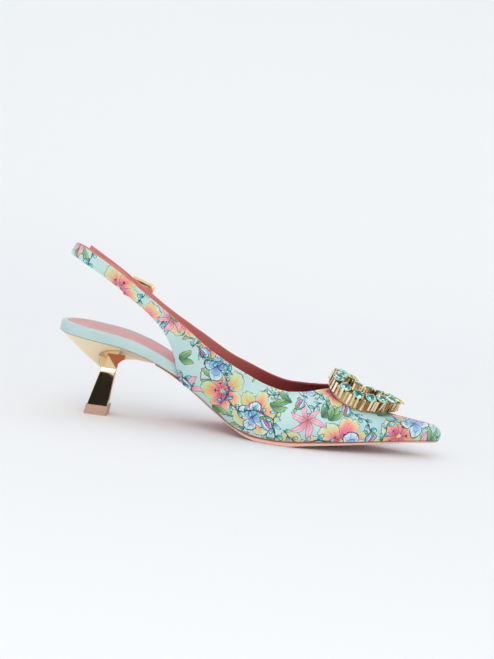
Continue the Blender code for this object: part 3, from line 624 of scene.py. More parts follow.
def leather(name, colour, roughness, grain_scale, grain_depth, mottle=0.06, coat=0.0, creases=0.0):
    """Smooth leather: a mottled colour, a fine cell grain and some gloss."""
    material, tree, shader = new_material(name, roughness=roughness, coat_weight=coat, coat_roughness=0.25)
    vector = object_vector(tree)
    cloud, _ = noise(tree, vector, 60.0)
    darker = tuple(c * (1.0 - 3.0 * mottle) for c in colour)
    lighter = tuple(min(1.0, c * (1.0 + 2.0 * mottle)) for c in colour)
    tree.links.new(cloud.ramp((0.3, darker), (0.7, lighter)), shader.inputs["Base Color"])
    grain = add_node(tree, "TexVoronoi", Vector=vector, Scale=grain_scale)
    height = Value(tree, grain.outputs["Distance"])
    if creases:
        fold, _ = noise(tree, vector, 240.0, 4.0)
        height = height + fold * creases
    bump(tree, shader, height, 0.35, grain_depth)
    return material


# Where the lining's painted shade starts, and how far it runs to its darkest
LINING_SHADE_START = (40.0, 0.0, 0.0)
LINING_SHADE_RUN = 150.0


def lining_leather():
    """The red-pink lining with painted shade: deeper and darker in the throat than along the strap."""
    material, tree, shader = new_material("lining_leather", roughness=0.5)
    vector = object_vector(tree)
    x, _, _ = split_vector(tree, vector)
    cloud, _ = noise(tree, vector, 60.0)
    # Painted shade: the lining's colour darkens towards the throat
    ahead = (x - place(LINING_SHADE_START)[0]) / (LINING_SHADE_RUN * MM) + (cloud - 0.5) * 0.08
    colour = ahead.ramp((0.0, srgb(212, 130, 122)), (0.3, srgb(190, 108, 100)), (0.65, srgb(148, 65, 60)),
                        (1.0, srgb(122, 46, 46)))
    tree.links.new(colour, shader.inputs["Base Color"])
    grain, _ = noise(tree, vector, 1400.0)
    bump(tree, shader, grain, 0.3, 0.00005)
    return material


def gold(name, roughness, colour):
    """Polished plating: the tone and the gloss waver a little."""
    material, tree, shader = new_material(name, metallic=1.0)
    cloud, _ = noise(tree, object_vector(tree), 180.0)
    tone = srgb(*colour)
    tree.links.new(cloud.ramp((0.3, tuple(0.96 * c for c in tone)), (0.7, tone)), shader.inputs["Base Color"])
    tree.links.new((cloud * 0.06 + (roughness - 0.03)).socket, shader.inputs["Roughness"])
    return material


def bar_gold():
    """Plating of the brooch's cut bars with painted light: every face has its own painted tone, from dark
    brown shade to a nearly white glint.
    """
    material, tree, shader = new_material("bar_plating", metallic=0.55, roughness=0.18)
    tone = Value(tree, carried(tree, "bar_painted_light")["Fac"])
    colour = tone.ramp((0.0, srgb(58, 38, 18)), (0.22, srgb(146, 102, 56)), (0.45, srgb(212, 170, 112)),
                       (0.75, srgb(246, 222, 180)), (1.0, srgb(255, 250, 238)))
    tree.links.new(colour, shader.inputs["Base Color"])
    return material


def notch_painted_light():
    """The heel's plating in its notch with painted reflections: cream low at the back, red-brown high in
    front.
    """
    material, tree, shader = new_material("notch_painted_reflections", metallic=1.0, roughness=0.10)
    x, _, z = split_vector(tree, object_vector(tree))
    middle = place(NOTCH_TURN)
    ahead = (x - middle[0]) / MM
    above = (z - middle[2]) / MM
    # Painted reflections: cream at the back turns to red-brown in front, on the same plating
    front = (ahead * NOTCH_SLOPE + above).rise(-0.5, 0.5)
    colour = front.ramp((0.0, srgb(230, 206, 154)), (1.0, srgb(176, 100, 64)))
    tree.links.new(colour, shader.inputs["Base Color"])
    return material


def stone(name, deep, middle, pale):
    """Foil-backed crystal with painted reflections: each facet has its own painted tone, from dark reflection
    to white glint, under a clear polished surface.
    """
    material, tree, shader = new_material(name, roughness=0.04, ior=1.55, specular_ior_level=0.35)
    tone = Value(tree, carried(tree, "facet_painted_light")["Fac"])
    colour = tone.ramp((0.0, deep), (0.30, middle), (0.62, pale), (1.0, (0.92, 0.98, 0.96)))
    tree.links.new(colour, shader.inputs["Base Color"])
    return material


# The printed satin

INK = srgb(50, 44, 56)
FINE_INK = srgb(112, 84, 104)
PRINT_SATURATION = 0.86
PRINT_VALUE = 0.97

# A motif about the place that is shaded, and a layer of motifs in staggered cells; millimetres on the cloth
Motif = namedtuple("Motif", "x y size key show")
Layer = namedtuple("Layer", "paint u v wide tall seed wander turn small grow empty", defaults=(0.0, 0.0, 0.0))


def chance(tree, first, second, seed):
    """Three random numbers that belong to a pair of numbers."""
    pair = add_node(tree, "CombineXYZ", X=first, Y=second, Z=seed)
    dice = add_node(tree, "TexWhiteNoise", Vector=pair.outputs[0])
    return split_colour(tree, dice.outputs["Color"])


def cell_motif(tree, u, v, layer):
    """The motif of the cell that a place on the cloth lies in, shifted and turned at random."""
    u, v = u + layer.u, v + layer.v
    row = (v / layer.tall).floor()
    along = u / layer.wide + (row * 0.5).fract()
    column = along.floor()
    first, second, third = chance(tree, column, row, layer.seed)
    fourth, fifth, sixth = chance(tree, column, row, layer.seed + 0.5)
    x = (along - column - 0.5) * layer.wide + (second - 0.5) * (2.0 * layer.wander)
    y = (v / layer.tall - row - 0.5) * layer.tall + (third - 0.5) * (2.0 * layer.wander)
    c, s = (first * layer.turn).cos(), (first * layer.turn).sin()
    size = fifth * layer.grow + layer.small
    return Motif(x * c + y * s, y * c - x * s, size, sixth, fourth.rise(layer.empty, layer.empty + 0.01))


def polar(x, y):
    """A place's distance from the middle and its angle round it."""
    return (x * x + y * y).root(), y.angle(x)


def lens(share, power):
    """The half width of a pointed blade along its length."""
    return (share.most(0.0).least(1.0) * math.pi).sin().power(power)


def blossom(tree, base, motif):
    """A large flower: five frilled petals from a pink heart to pale tips, with fine ink lines."""
    x, y, size, cell, show = motif
    radius, angle = polar(x, y)
    fifth = angle * (2.5 / math.pi)
    petal = (fifth + 0.5).floor()
    across = fifth - petal
    long, kind, deep = chance(tree, petal, cell, 40.0)
    brush = add_node(tree, "CombineXYZ", X=across * 11.0, Y=radius * 0.12, Z=petal * 3.0 + cell * 50.0)
    strokes, _ = noise(tree, brush.outputs[0], 1.0, 3.0)
    lobe = (across * math.pi).cos().power(0.42) * 0.56 + 0.44
    edge = size * (long * 0.34 + 0.76) * lobe * ((across * 27.0).sin() * 0.025 + strokes * 0.16 + 0.92)
    ratio = radius / edge
    tone = ratio + (strokes - 0.5) * 0.75 + (deep - 0.5) * 0.16
    warm = tone.ramp((0.0, srgb(204, 30, 120)), (0.34, srgb(230, 70, 132)), (0.56, srgb(240, 120, 116)),
                     (0.72, srgb(240, 170, 112)), (0.86, srgb(212, 212, 132)), (1.0, srgb(200, 226, 204)))
    sunny = tone.ramp((0.0, srgb(212, 40, 118)), (0.30, srgb(236, 92, 112)), (0.52, srgb(240, 150, 96)),
                      (0.74, srgb(208, 204, 112)), (1.0, srgb(192, 222, 170)))
    base = over(tree, base, over(tree, warm, sunny, kind.rise(0.4, 0.6)), ratio.fall(0.96, 1.0) * show)
    arc = radius * (math.tau / 5.0)
    gap = abs((across * 6.0 + 0.5).fract() - 0.5) * arc * (1.0 / 6.0)
    vein = gap.fall(0.03, 0.2) * ratio.rise(0.12, 0.22) * (ratio + abs(across) * 0.8).fall(0.5, 0.92) * 0.62
    rim = abs(radius - edge).fall(0.16, 0.34) * 0.85
    seam = ((abs(across) * -1.0 + 0.5) * arc).fall(0.14, 0.32) * ratio.fall(0.97, 1.0) * 0.9
    base = over(tree, base, FINE_INK, vein.most(rim).most(seam) * show)
    heart = radius.fall(1.3, 1.9) * show
    base = over(tree, base, srgb(250, 214, 96), heart)
    offset = radius * (across * (math.tau / 5.0)).sin()
    stamen = abs(offset).fall(0.12, 0.28) * (radius / size).fall(0.3, 0.32) * radius.rise(0.6, 0.9)
    tip_x = radius * (across * (math.tau / 5.0)).cos() - size * 0.32
    tip, _ = polar(tip_x, offset * 0.6)
    return over(tree, base, INK, stamen.most(tip.fall(0.5, 0.66)) * show)


def bluet(tree, base, motif):
    """A small blue flower of four round petals with a strong ink outline and a net of veins."""
    x, y, size, _, show = motif
    radius, angle = polar(x, y)
    quarter = angle * (2.0 / math.pi)
    across = (quarter + 0.5).fract() - 0.5
    edge = size * ((across * math.pi).cos().power(0.6) * 0.66 + 0.34)
    ratio = radius / edge
    paint = (ratio + abs(across) * 0.3).ramp((0.0, srgb(232, 120, 150)), (0.14, srgb(70, 116, 190)),
                                             (0.45, srgb(112, 170, 220)), (0.8, srgb(176, 218, 238)),
                                             (1.0, srgb(206, 234, 244)))
    base = over(tree, base, paint, ratio.fall(0.98, 1.0) * show)
    arc = radius * (math.tau / 4.0)
    gap = abs((across * 4.0 + 0.5).fract() - 0.5) * arc * 0.25
    vein = gap.fall(0.05, 0.18) * ratio.rise(0.5, 0.62) * 0.8
    ring = abs(ratio + abs(across) * 0.2 - 0.62).fall(0.015, 0.04) * 0.7
    rim = abs(radius - edge).fall(0.3, 0.46)
    seam = ((abs(across) * -1.0 + 0.5) * arc).fall(0.24, 0.4)
    inside = ratio.fall(0.98, 1.0)
    return over(tree, base, INK, vein.most(ring).most(seam).least(inside).most(rim) * show)


def star(tree, base, motif):
    """A flower of six slender pink petals."""
    x, y, size, _, show = motif
    radius, angle = polar(x, y)
    twist = radius / size * 0.5
    across = (((angle + twist) * (3.0 / math.pi) + 0.5).fract() - 0.5) * (math.tau / 6.0)
    share = radius * across.cos() / size
    offset = radius * across.sin()
    gap = abs(offset) - lens(share, 0.8) * size * 0.155
    paint = share.ramp((0.0, srgb(190, 92, 70)), (0.2, srgb(226, 116, 140)), (0.6, srgb(243, 176, 194)),
                       (1.0, srgb(228, 130, 164)))
    there = share.fall(0.97, 1.0) * show
    base = over(tree, base, paint, gap.fall(-0.05, 0.05) * there)
    rib = abs(offset).fall(0.05, 0.18) * gap.fall(-0.2, 0.0) * 0.6
    return over(tree, base, srgb(120, 50, 74), rib.most(abs(gap).fall(0.1, 0.26) * 0.85) * there)


def bud(tree, base, motif):
    """A closed bud with lanes of teal, white and magenta in a green cup."""
    x, y, long, _, show = motif
    share = x / long + 0.5
    half = lens(share, 0.7) * (share * -0.3 + 1.0) * (long * 0.27)
    gap = abs(y) - half
    lane = (y / half.most(0.05)) * 0.5 + 0.5
    paint = lane.ramp((0.0, srgb(30, 176, 200)), (0.27, srgb(96, 206, 220)), (0.31, srgb(238, 236, 246)),
                      (0.42, srgb(226, 214, 236)), (0.46, srgb(206, 40, 140)), (0.66, srgb(226, 96, 168)),
                      (0.71, srgb(176, 150, 208)), (1.0, srgb(206, 186, 226)))
    paint = over(tree, paint, srgb(104, 176, 84), share.fall(0.2, 0.24))
    there = share.rise(0.0, 0.02) * share.fall(0.98, 1.0) * show
    base = over(tree, base, paint, gap.fall(-0.05, 0.05) * there)
    line = abs(lane - 0.44).fall(0.02, 0.05).most(abs(lane - 0.68).fall(0.02, 0.05)) * gap.fall(-0.2, 0.0)
    return over(tree, base, INK, line.most(abs(gap).fall(0.16, 0.32)) * there)


def leaves(tree, base, motif, stem, wide):
    """A pair of bent blades on one stem."""
    x, y, long, _, show = motif
    x = x + stem
    spread = 0.45
    along = x * math.cos(spread) + abs(y) * math.sin(spread)
    across = abs(y) * math.cos(spread) - x * math.sin(spread)
    across = across + along * along * 0.014
    share = along / long
    gap = abs(across) - lens(share, 0.8) * wide
    there = share.rise(0.0, 0.03) * share.fall(0.97, 1.0) * show
    green = (share + across * 0.12).ramp((0.0, srgb(38, 104, 76)), (0.35, srgb(84, 156, 92)),
                                         (0.75, srgb(128, 190, 112)), (1.0, srgb(190, 218, 140)))
    base = over(tree, base, green, gap.fall(-0.05, 0.05) * there)
    rib = abs(across).fall(0.05, 0.18) * gap.fall(-0.2, 0.0) * 0.7
    return over(tree, base, INK, rib.most(abs(gap).fall(0.12, 0.28) * 0.9) * there)


def sprig(tree, base, motif):
    """A wavy stem with five long turquoise berries on each side."""
    x, y, _, _, show = motif
    pitch = 3.1
    bent = y - (x * 0.24).sin() * 2.2
    on = abs(x).fall(5.3 * pitch, 5.4 * pitch) * show
    base = over(tree, base, srgb(40, 74, 66), abs(bent).fall(0.26, 0.44) * on)
    step = x / pitch
    index = step.floor()
    side = (index * 0.5).fract() * 4.0 - 1.0
    berry_x = (step - index - 0.5) * pitch
    berry_y = bent - side * 2.0
    lean_x = berry_x * 0.80 - berry_y * side * 0.60
    lean_y = berry_y * 0.80 + berry_x * side * 0.60
    berry, _ = polar(lean_x * 1.8, lean_y)
    inner = abs(step).fall(4.99, 5.0) * show
    base = over(tree, base, INK, berry.fall(2.02, 2.16) * inner)
    gloss = lean_y * side * 0.5 + lean_x * 0.3 + 0.4
    paint = gloss.ramp((0.0, srgb(0, 160, 184)), (0.6, srgb(40, 206, 216)), (1.0, srgb(150, 240, 238)))
    return over(tree, base, paint, berry.fall(1.52, 1.66) * inner)


def tendril(tree, base, motif):
    """A thin stem that curls up, with a round leaf at each end."""
    x, y, _, _, show = motif
    radius, angle = polar(x, y)
    curl = abs(radius - 6.2 - angle * 0.8)
    stem = curl.fall(0.2, 0.38) * angle.rise(-2.5, -2.4) * angle.fall(2.3, 2.4)
    base = over(tree, base, srgb(66, 92, 84), stem * show)
    for spot_x, spot_y, leaf_size in ((-5.3, 6.0, 1.9), (-3.2, -2.9, 1.4)):
        reach, _ = polar((x - spot_x) * 1.5, y - spot_y)
        base = over(tree, base, INK, reach.fall(leaf_size + 0.1, leaf_size + 0.26) * show)
        green = (reach / leaf_size).ramp((0.0, srgb(150, 206, 150)), (1.0, srgb(78, 160, 120)))
        base = over(tree, base, green, reach.fall(leaf_size - 0.36, leaf_size - 0.2) * show)
    return base


# The print's layers from the ground up
LAYERS = (
    Layer(tendril, -4.0, 6.0, 25.0, 22.0, 71.0, 3.0, math.tau, empty=0.2),
    Layer(sprig, 12.0, 17.0, 36.0, 23.0, 83.0, 2.0, math.tau),
    Layer(partial(leaves, stem=7.0, wide=2.2), 7.0, -4.0, 34.0, 29.0, 3.0, 2.0, math.tau, 13.0, 4.0, 0.02),
    Layer(blossom, 25.0, 21.0, 54.0, 46.0, 27.0, 2.0, math.tau, 15.0, 3.0, 0.04),
    Layer(blossom, 0.0, 0.0, 54.0, 46.0, 21.0, 2.0, math.tau, 16.0, 3.0),
    Layer(star, 13.0, 2.0, 44.0, 38.0, 5.0, 4.0, math.tau, 9.5, 3.0, 0.22),
    Layer(bluet, -9.0, -12.0, 48.0, 40.0, 13.0, 5.0, math.tau, 8.5, 2.5, 0.25),
    Layer(bud, 19.0, 15.0, 31.0, 27.0, 34.0, 4.0, math.tau, 10.5, 3.0, 0.34),
    Layer(sprig, -3.0, 9.0, 40.0, 34.0, 8.0, 1.0, 1.6, empty=0.1),
    Layer(sprig, 31.0, -15.0, 43.0, 37.0, 61.0, 2.0, math.tau, empty=0.3),
    Layer(partial(leaves, stem=6.0, wide=1.8), -16.0, 26.0, 37.0, 33.0, 51.0, 4.0, math.tau, 10.0, 4.0, 0.3),
)


def satin_print():
    """Pale satin with an all-over print of blossoms, small flowers, buds, leaves and berry sprigs."""
    material, tree, shader = new_material("printed_satin", roughness=0.45, sheen_weight=0.15,
                                          sheen_roughness=0.4)
    vector = carried(tree, "flat_pattern")["Vector"]
    u, v, _ = split_vector(tree, vector)
    _, slow = noise(tree, vector, 0.10)
    _, quick = noise(tree, vector, 0.5)
    u = u + (slow[0] - 0.5) * 5.0 + (quick[0] - 0.5) * 1.1
    v = v + (slow[1] - 0.5) * 5.0 + (quick[1] - 0.5) * 1.1
    tint, _ = noise(tree, vector, 0.05)
    # Painted shade: the satin's ground is painted darker over the toe than on the quarters
    back = tint.ramp((0.3, srgb(176, 212, 209)), (0.7, srgb(190, 221, 217)))
    front = tint.ramp((0.3, srgb(150, 202, 203)), (0.7, srgb(164, 211, 211)))
    colour = over(tree, back, front, u.rise(-10.0, 60.0))
    for layer in LAYERS:
        colour = layer.paint(tree, colour, cell_motif(tree, u, v, layer))
    muted = add_node(tree, "HueSaturation", Color=colour, Saturation=PRINT_SATURATION, Value=PRINT_VALUE)
    feed(tree, shader.inputs["Base Color"], muted.outputs["Color"])
    warp = (u * (math.tau / 0.42)).sin()
    weft = (v * (math.tau / 0.30)).sin()
    bump(tree, shader, warp * 0.35 + weft, 0.12, 0.00004)
    return material


# Upper

def column_of(rib_name):
    """The wall grid's column at a rib."""
    return list(RIB_NAMED).index(rib_name) * COLUMNS_PER_RIB


def rib_line(rib):
    """The four Bezier points of one rib, from the topline down to its foot, and its sag."""
    top = np.array([rib.top_x, rib.top_y, rib.top_z])
    side = -1.0 if rib.top_y < 0 else 1.0
    if rib.foot_z is None:
        edge, out = board_edge(rib.foot_x, side)
        foot = np.array([*(edge + out * FOOT_CLEAR), under_board(rib.foot_x)])
    else:
        foot = np.array([rib.foot_x, rib.foot_y, rib.foot_z])
        out = np.array([0.0, side]) if abs(foot[1]) > 1.0 else np.array([-1.0, 0.0])
    level = foot - top
    level[2] = 0.0
    level /= max(np.linalg.norm(level), 1e-6)
    dip = math.radians(rib.dip)
    leave = math.cos(dip) * level
    leave[2] = -math.sin(dip)
    if rib.foot_z is not None:
        leave = (foot - top) / np.linalg.norm(foot - top)
    flare = math.radians(rib.flare)
    arrive = np.array([*(out * math.sin(flare)), math.cos(flare)])
    if rib.foot_z is not None:
        arrive = arrive * (1.0 - STRAP_LEAN) - leave * STRAP_LEAN
    return np.concatenate([top, top + leave * rib.reach, foot + arrive * rib.rise, foot, [rib.sag]])


def wall_grid():
    """The outer face of the upper as a grid of points, columns along the topline and rows down the wall."""
    lines = spline([rib_line(rib) for rib in RIBS], COLUMNS_PER_RIB, key=[0, 1, 2, 9, 10, 11])
    p0, p1, p2, p3 = np.swapaxes(lines[:, :-1].reshape(-1, 4, 3), 0, 1)[:, :, None, :]
    sag = lines[:, -1, None, None] * np.array([0.0, 0.0, 1.0])
    t = np.linspace(0.0, 1.0, WALL_ROWS + 1)[None, :, None]
    wall = (1 - t)**3 * p0 + 3 * (1 - t)**2 * t * p1 + 3 * (1 - t) * t**2 * p2 + t**3 * p3
    return wall - 6 * (1 - t)**2 * t**2 * sag


def grid_normals(grid):
    """Outward normals of the wall's grid."""
    down = np.gradient(grid, axis=1)
    along = np.gradient(grid, axis=0)
    normal = unit(np.cross(along, down))
    medial = normal[column_of("waist"), WALL_ROWS // 2]
    return -normal if medial[1] > 0.0 else normal


def flatten(grid):
    """The wall's grid laid flat with the least stretch, in millimetres, the toe along the first axis."""
    wide, tall = grid.shape[:2]
    mesh = bpy.data.meshes.new("cut_pattern")
    index = np.arange(wide * tall).reshape(wide, tall)
    quads = np.stack([index[:-1, :-1], index[:-1, 1:], index[1:, 1:], index[1:, :-1]], -1).reshape(-1, 4)
    mesh.from_pydata([tuple(p) for p in grid.reshape(-1, 3)], [], quads.tolist())
    mesh.uv_layers.new(name="pattern")
    sheet = bpy.data.objects.new("cut_pattern", mesh)
    bpy.context.scene.collection.objects.link(sheet)
    bpy.ops.object.select_all(action="DESELECT")
    bpy.context.view_layer.objects.active = sheet
    sheet.select_set(True)
    bpy.ops.object.mode_set(mode="EDIT")
    bpy.ops.mesh.select_all(action="SELECT")
    bpy.ops.uv.unwrap(method="MINIMUM_STRETCH", margin=0.0)
    bpy.ops.object.mode_set(mode="OBJECT")
    corner_uv = np.zeros(len(mesh.loops) * 2, np.float32)
    mesh.uv_layers["pattern"].uv.foreach_get("vector", corner_uv)
    corner_vertex = np.zeros(len(mesh.loops), np.int32)
    mesh.loops.foreach_get("vertex_index", corner_vertex)
    laid = np.zeros((wide * tall, 2))
    laid[corner_vertex] = corner_uv.reshape(-1, 2)
    bpy.data.objects.remove(sheet, do_unlink=True)
    laid = laid.reshape(wide, tall, 2)
    real = np.linalg.norm(np.diff(grid, axis=1), axis=-1).sum()
    laid *= real / np.linalg.norm(np.diff(laid, axis=1), axis=-1).sum()
    ridge = column_of("tip")
    origin = laid[ridge, 0].copy()
    ahead = unit(laid[ridge, -1] - origin)
    laid = laid - origin
    return np.stack([laid @ ahead, laid @ np.array([-ahead[1], ahead[0]])], -1)


GRID = wall_grid()
NORMAL = grid_normals(GRID)


def make_upper(satin, lining, edge_paint):
    """The wall as a closed shell: a printed outer face turned over rounded edges, a lined inner face."""
    flat = flatten(GRID)
    half = WALL / 2.0
    inner = GRID - NORMAL * WALL
    middle = GRID - NORMAL * half
    up = unit(GRID[:, 0] - GRID[:, 1])
    down = unit(GRID[:, -1] - GRID[:, -2])
    turns = np.linspace(0.0, math.pi, EDGE_ROWS + 2)[1:-1]
    low_edge, top_edge = [], []
    for t in turns:
        stand, rise = half * math.cos(t), EDGE_ROUND * math.sin(t)
        low_edge.append(middle[:, -1] + NORMAL[:, -1] * stand + down * rise)
        top_edge.append(middle[:, 0] - NORMAL[:, 0] * stand + up * rise)
    loop = np.concatenate([GRID, np.stack(low_edge, 1), inner[:, ::-1], np.stack(top_edge, 1)], axis=1)
    wide, around = loop.shape[:2]
    inner_start = WALL_ROWS + 1 + EDGE_ROWS
    inner_stop = inner_start + WALL_ROWS
    ring_material = np.zeros(around, int)
    ring_material[inner_start:inner_stop + LINED_EDGE] = 1
    numbers = range(wide * around)
    faces = band_faces(wide, around, closed=False) + [numbers[:around], numbers[-around:][::-1]]
    material_index = np.tile(ring_material, wide - 1).tolist() + [2, 2]
    mesh = mesh_from("upper_shell", loop.reshape(-1, 3), faces, material_index, 70.0)
    pattern = np.zeros((wide, around, 3))
    turn_in = np.concatenate([turns, [math.pi]])[None, :, None] * (EDGE_TURN / math.pi)
    top, low = flat[:, :1], flat[:, -1:]
    pattern[:, :WALL_ROWS + 1, :2] = flat
    pattern[:, WALL_ROWS + 1:inner_start + 1, :2] = low + unit(low - flat[:, -2:-1]) * turn_in
    pattern[:, inner_stop:, :2] = top + unit(top - flat[:, 1:2]) * turn_in[:, ::-1]
    lay_print(mesh, pattern)
    tidy_mesh(mesh, weld=None)
    return add_piece("upper_shell", mesh, [satin, lining, edge_paint], ["upper"])


def wall_line(inset, from_top=True):
    """A line on the wall's outer face, inset from its top or its lower edge, with the normals there."""
    grid, normal = (GRID, NORMAL) if from_top else (GRID[:, ::-1], NORMAL[:, ::-1])
    points, normals = [], []
    for wall, facing in zip(grid, normal):
        depth = run_length(wall)
        points.append(between(inset, depth, wall))
        normals.append(between(inset, depth, facing))
    return np.array(points), unit(normals)


# A stitch: places along it, thickness there and lift off the wall, as shares of its length and radius
STITCH = ((-0.5, 0.25, -0.6), (-0.34, 0.9, 0.2), (0.0, 1.0, 0.55), (0.34, 0.9, 0.2), (0.5, 0.25, -0.6))
STITCH_SIDES = 6


def stitches(points, normals):
    """A row of short threads along a line on the wall."""
    length = run_length(points)
    parts = []
    for start in np.arange(STITCH_PITCH, length[-1] - STITCH_PITCH, STITCH_PITCH):
        spots, sizes = [], []
        for share, size, lift in STITCH:
            at = start + share * STITCH_LONG
            spots.append(between(at, length, points) + between(at, length, normals) * STITCH_RADIUS * lift)
            sizes.append(STITCH_RADIUS * size)
        parts.append(tube(spots, sizes, STITCH_SIDES))
    return join(parts)


def make_stitches(thread):
    """Stitch rows along the topline, the strap's lower edge and the arm's."""
    first, back, front = (column_of(name) for name in ("sling_lateral", "quarter_fall", "fall_out"))
    top, top_normal = wall_line(STITCH_INSET)
    low, low_normal = wall_line(STITCH_INSET, from_top=False)
    rows = [
        stitches(top[first:], top_normal[first:]),
        stitches(low[first:back], low_normal[first:back]),
        stitches(low[front:], low_normal[front:]),
    ]
    return add_piece("stitch_rows", mesh_from("stitch_rows", *join(rows)), [thread])


def make_strap_fold(satin, lining, edge_paint):
    """The end of the sling, turned round the buckle's bar and sewn down on the strap's inner face."""
    middle = GRID[:, WALL_ROWS // 2]
    last = int(np.searchsorted(run_length(middle)[1:], FOLD_LONG))
    inner = GRID[:last] - NORMAL[:last] * (WALL + FOLD_GAP)
    away = inner - NORMAL[:last] * FOLD_THICK
    ahead = unit(middle[0] - middle[2])
    reach = (WALL + FOLD_GAP + FOLD_THICK) / 2.0
    centre = GRID[0] - NORMAL[0] * reach

    def bend(radius):
        """The turn round the bar, from the strap's face to the fold's."""
        rows = []
        for t in np.linspace(0.0, math.pi, FOLD_STEPS):
            rows.append(centre + NORMAL[0] * radius * math.cos(t)
                        + ahead * radius * FOLD_STRETCH * math.sin(t))
        return rows

    outside = np.concatenate([bend(reach), away[1:]])
    inside = np.concatenate([bend(reach - FOLD_WALL), inner[1:]])
    loop = np.concatenate([outside, inside[:, ::-1]], axis=1)
    count, around = loop.shape[:2]
    tall = around // 2
    numbers = range(count * around)
    faces = band_faces(count, around, closed=False) + [numbers[:around], numbers[-around:]]
    ring = [0] * (tall - 1) + [2] + [1] * (tall - 1) + [2]
    mesh = mesh_from("strap_fold", loop.reshape(-1, 3), faces, ring * (count - 1) + [2, 2], 50.0)
    pattern = np.zeros((count, around, 3))
    pattern[:, :, 0] = np.arange(count)[:, None] * 0.9 + FOLD_PRINT
    pattern[:, :tall, 1] = np.linspace(0.0, 8.3, tall)[None]
    lay_print(mesh, pattern)
    tidy_mesh(mesh)
    return add_piece("strap_fold", mesh, [satin, lining, edge_paint])


def make_strap_holes(shade, ring):
    """Punched holes of the tail, on its outer face."""
    first = column_of("arm_buckle")
    path, normals = GRID[first:, WALL_ROWS // 2], NORMAL[first:, WALL_ROWS // 2]
    length = run_length(path)
    discs, rims = [], []
    for spot in np.arange(3.0 * HOLE_PITCH, length[-1] - HOLE_PITCH, HOLE_PITCH):
        centre = between(spot, length, path)
        out = unit(between(spot, length, normals))
        side = unit(np.cross(out, (0.0, 0.0, 1.0)))
        top = np.cross(side, out)
        circle = []
        for turn in np.linspace(0.0, math.tau, HOLE_SIDES, endpoint=False):
            way = side * math.cos(turn) + top * math.sin(turn)
            circle.append(centre + way * HOLE_RADIUS + out * 0.05)
        rims.append(tube(circle, HOLE_RIM, 6, closed=True, up=out))
        discs.append(tube([centre - out * 0.05, centre + out * 0.03], HOLE_RADIUS, HOLE_SIDES))
    add_piece("hole_rims", mesh_from("hole_rims", *join(rims)), [ring])
    return add_piece("hole_floors", mesh_from("hole_floors", *join(discs)), [shade])


# Sole, footbed and sock

def edge_run(start, stop, side):
    """The board's edge on one side between two stations, as points with their outward normals."""
    edge, out = (NEAR, NEAR_OUT) if side < 0 else (FAR, FAR_OUT)
    inside = [i for i in range(len(NEAR)) if start < NEAR[i, 0] < stop]
    return [board_edge(start, side), *((edge[i], out[i]) for i in inside), board_edge(stop, side)]


def slab(start, stop, layers):
    """A sheet over the board's plan: points, faces, and which faces are its underside.

    A layer gives how far it stands out and its height.
    """
    near, far = edge_run(start, stop, -1), edge_run(start, stop, 1)
    points = []
    for reach, height in layers:
        for spot, out in near + far[::-1]:
            points.append((*(spot + out * reach(spot[0])), height(spot[0])))
    around = 2 * len(near)
    faces = band_faces(len(layers), around, closed=False)
    underside = [0] * len(faces)
    for layer in (0, len(layers) - 1):
        for i in range(len(near) - 1):
            first, last = layer * around + i, (layer + 1) * around - 1 - i
            faces.append((first, first + 1, last - 1, last))
            underside.append(1 if layer == 0 else 0)
    return points, faces, underside


def edge_layers(section, reach, low, high):
    """The layers of a sheet's edge, from pairs of how far it stands out and the share of the thickness."""
    layers = []
    for out, share in section:
        layers.append((lambda x, out=out: reach(x) + out,
                       lambda x, share=share: low(x) + share * (high(x) - low(x))))
    return layers


# The rim's section from its foot up: how far it stands out, and the share of the board's thickness
RIM = ((-0.15, 0.0), (-0.03, 0.04), (0.0, 0.10), (-0.06, 0.30), (-0.20, 0.55), (-0.34, 0.72), (-0.52, 0.85),
       (-0.72, 0.94), (-1.0, 1.0))


def make_footbed(aqua):
    """The wrapped board: a rim that leans in from its foot to a soft shoulder, and the well of the sock."""
    layers = edge_layers(spline(RIM, 3), lambda x: 0.0, under_board, board_top)
    for depth in (0.0, WELL_DEPTH):
        layers.append((lambda x: WELL_CLEAR - sock_inset(x), lambda x, depth=depth: board_top(x) - depth))
    points, faces, _ = slab(0.0, TOE, layers)
    mesh = mesh_from("footbed_cover", points, faces, None, 60.0)
    tidy_mesh(mesh)
    return add_piece("footbed_cover", mesh, [aqua], ["footbed"])


# Creases of the sock at the ball: place, height, half width along the shoe, slant to the lateral side
CREASES = columns(
    "x      height wide  slant",
    (138.0,  0.30,  3.2,  0.25),
    (147.0, -0.28,  3.0,  0.10),
    (154.0,  0.34,  3.4, -0.10),
    (163.0, -0.22,  3.6, -0.28),
    (171.0,  0.24,  4.0, -0.35),
    (96.0,   0.16,  5.0,  0.15),
)


def crease_height(x, y):
    """How far the sock's creases lift it at a place in plan."""
    total = 0.0
    for centre, height, wide, slant in zip(*CREASES.values()):
        off = (x - centre - slant * y) / wide
        total += height * math.exp(-off * off) * (0.55 + 0.45 * math.cos(y * 0.09 + centre))
    return total


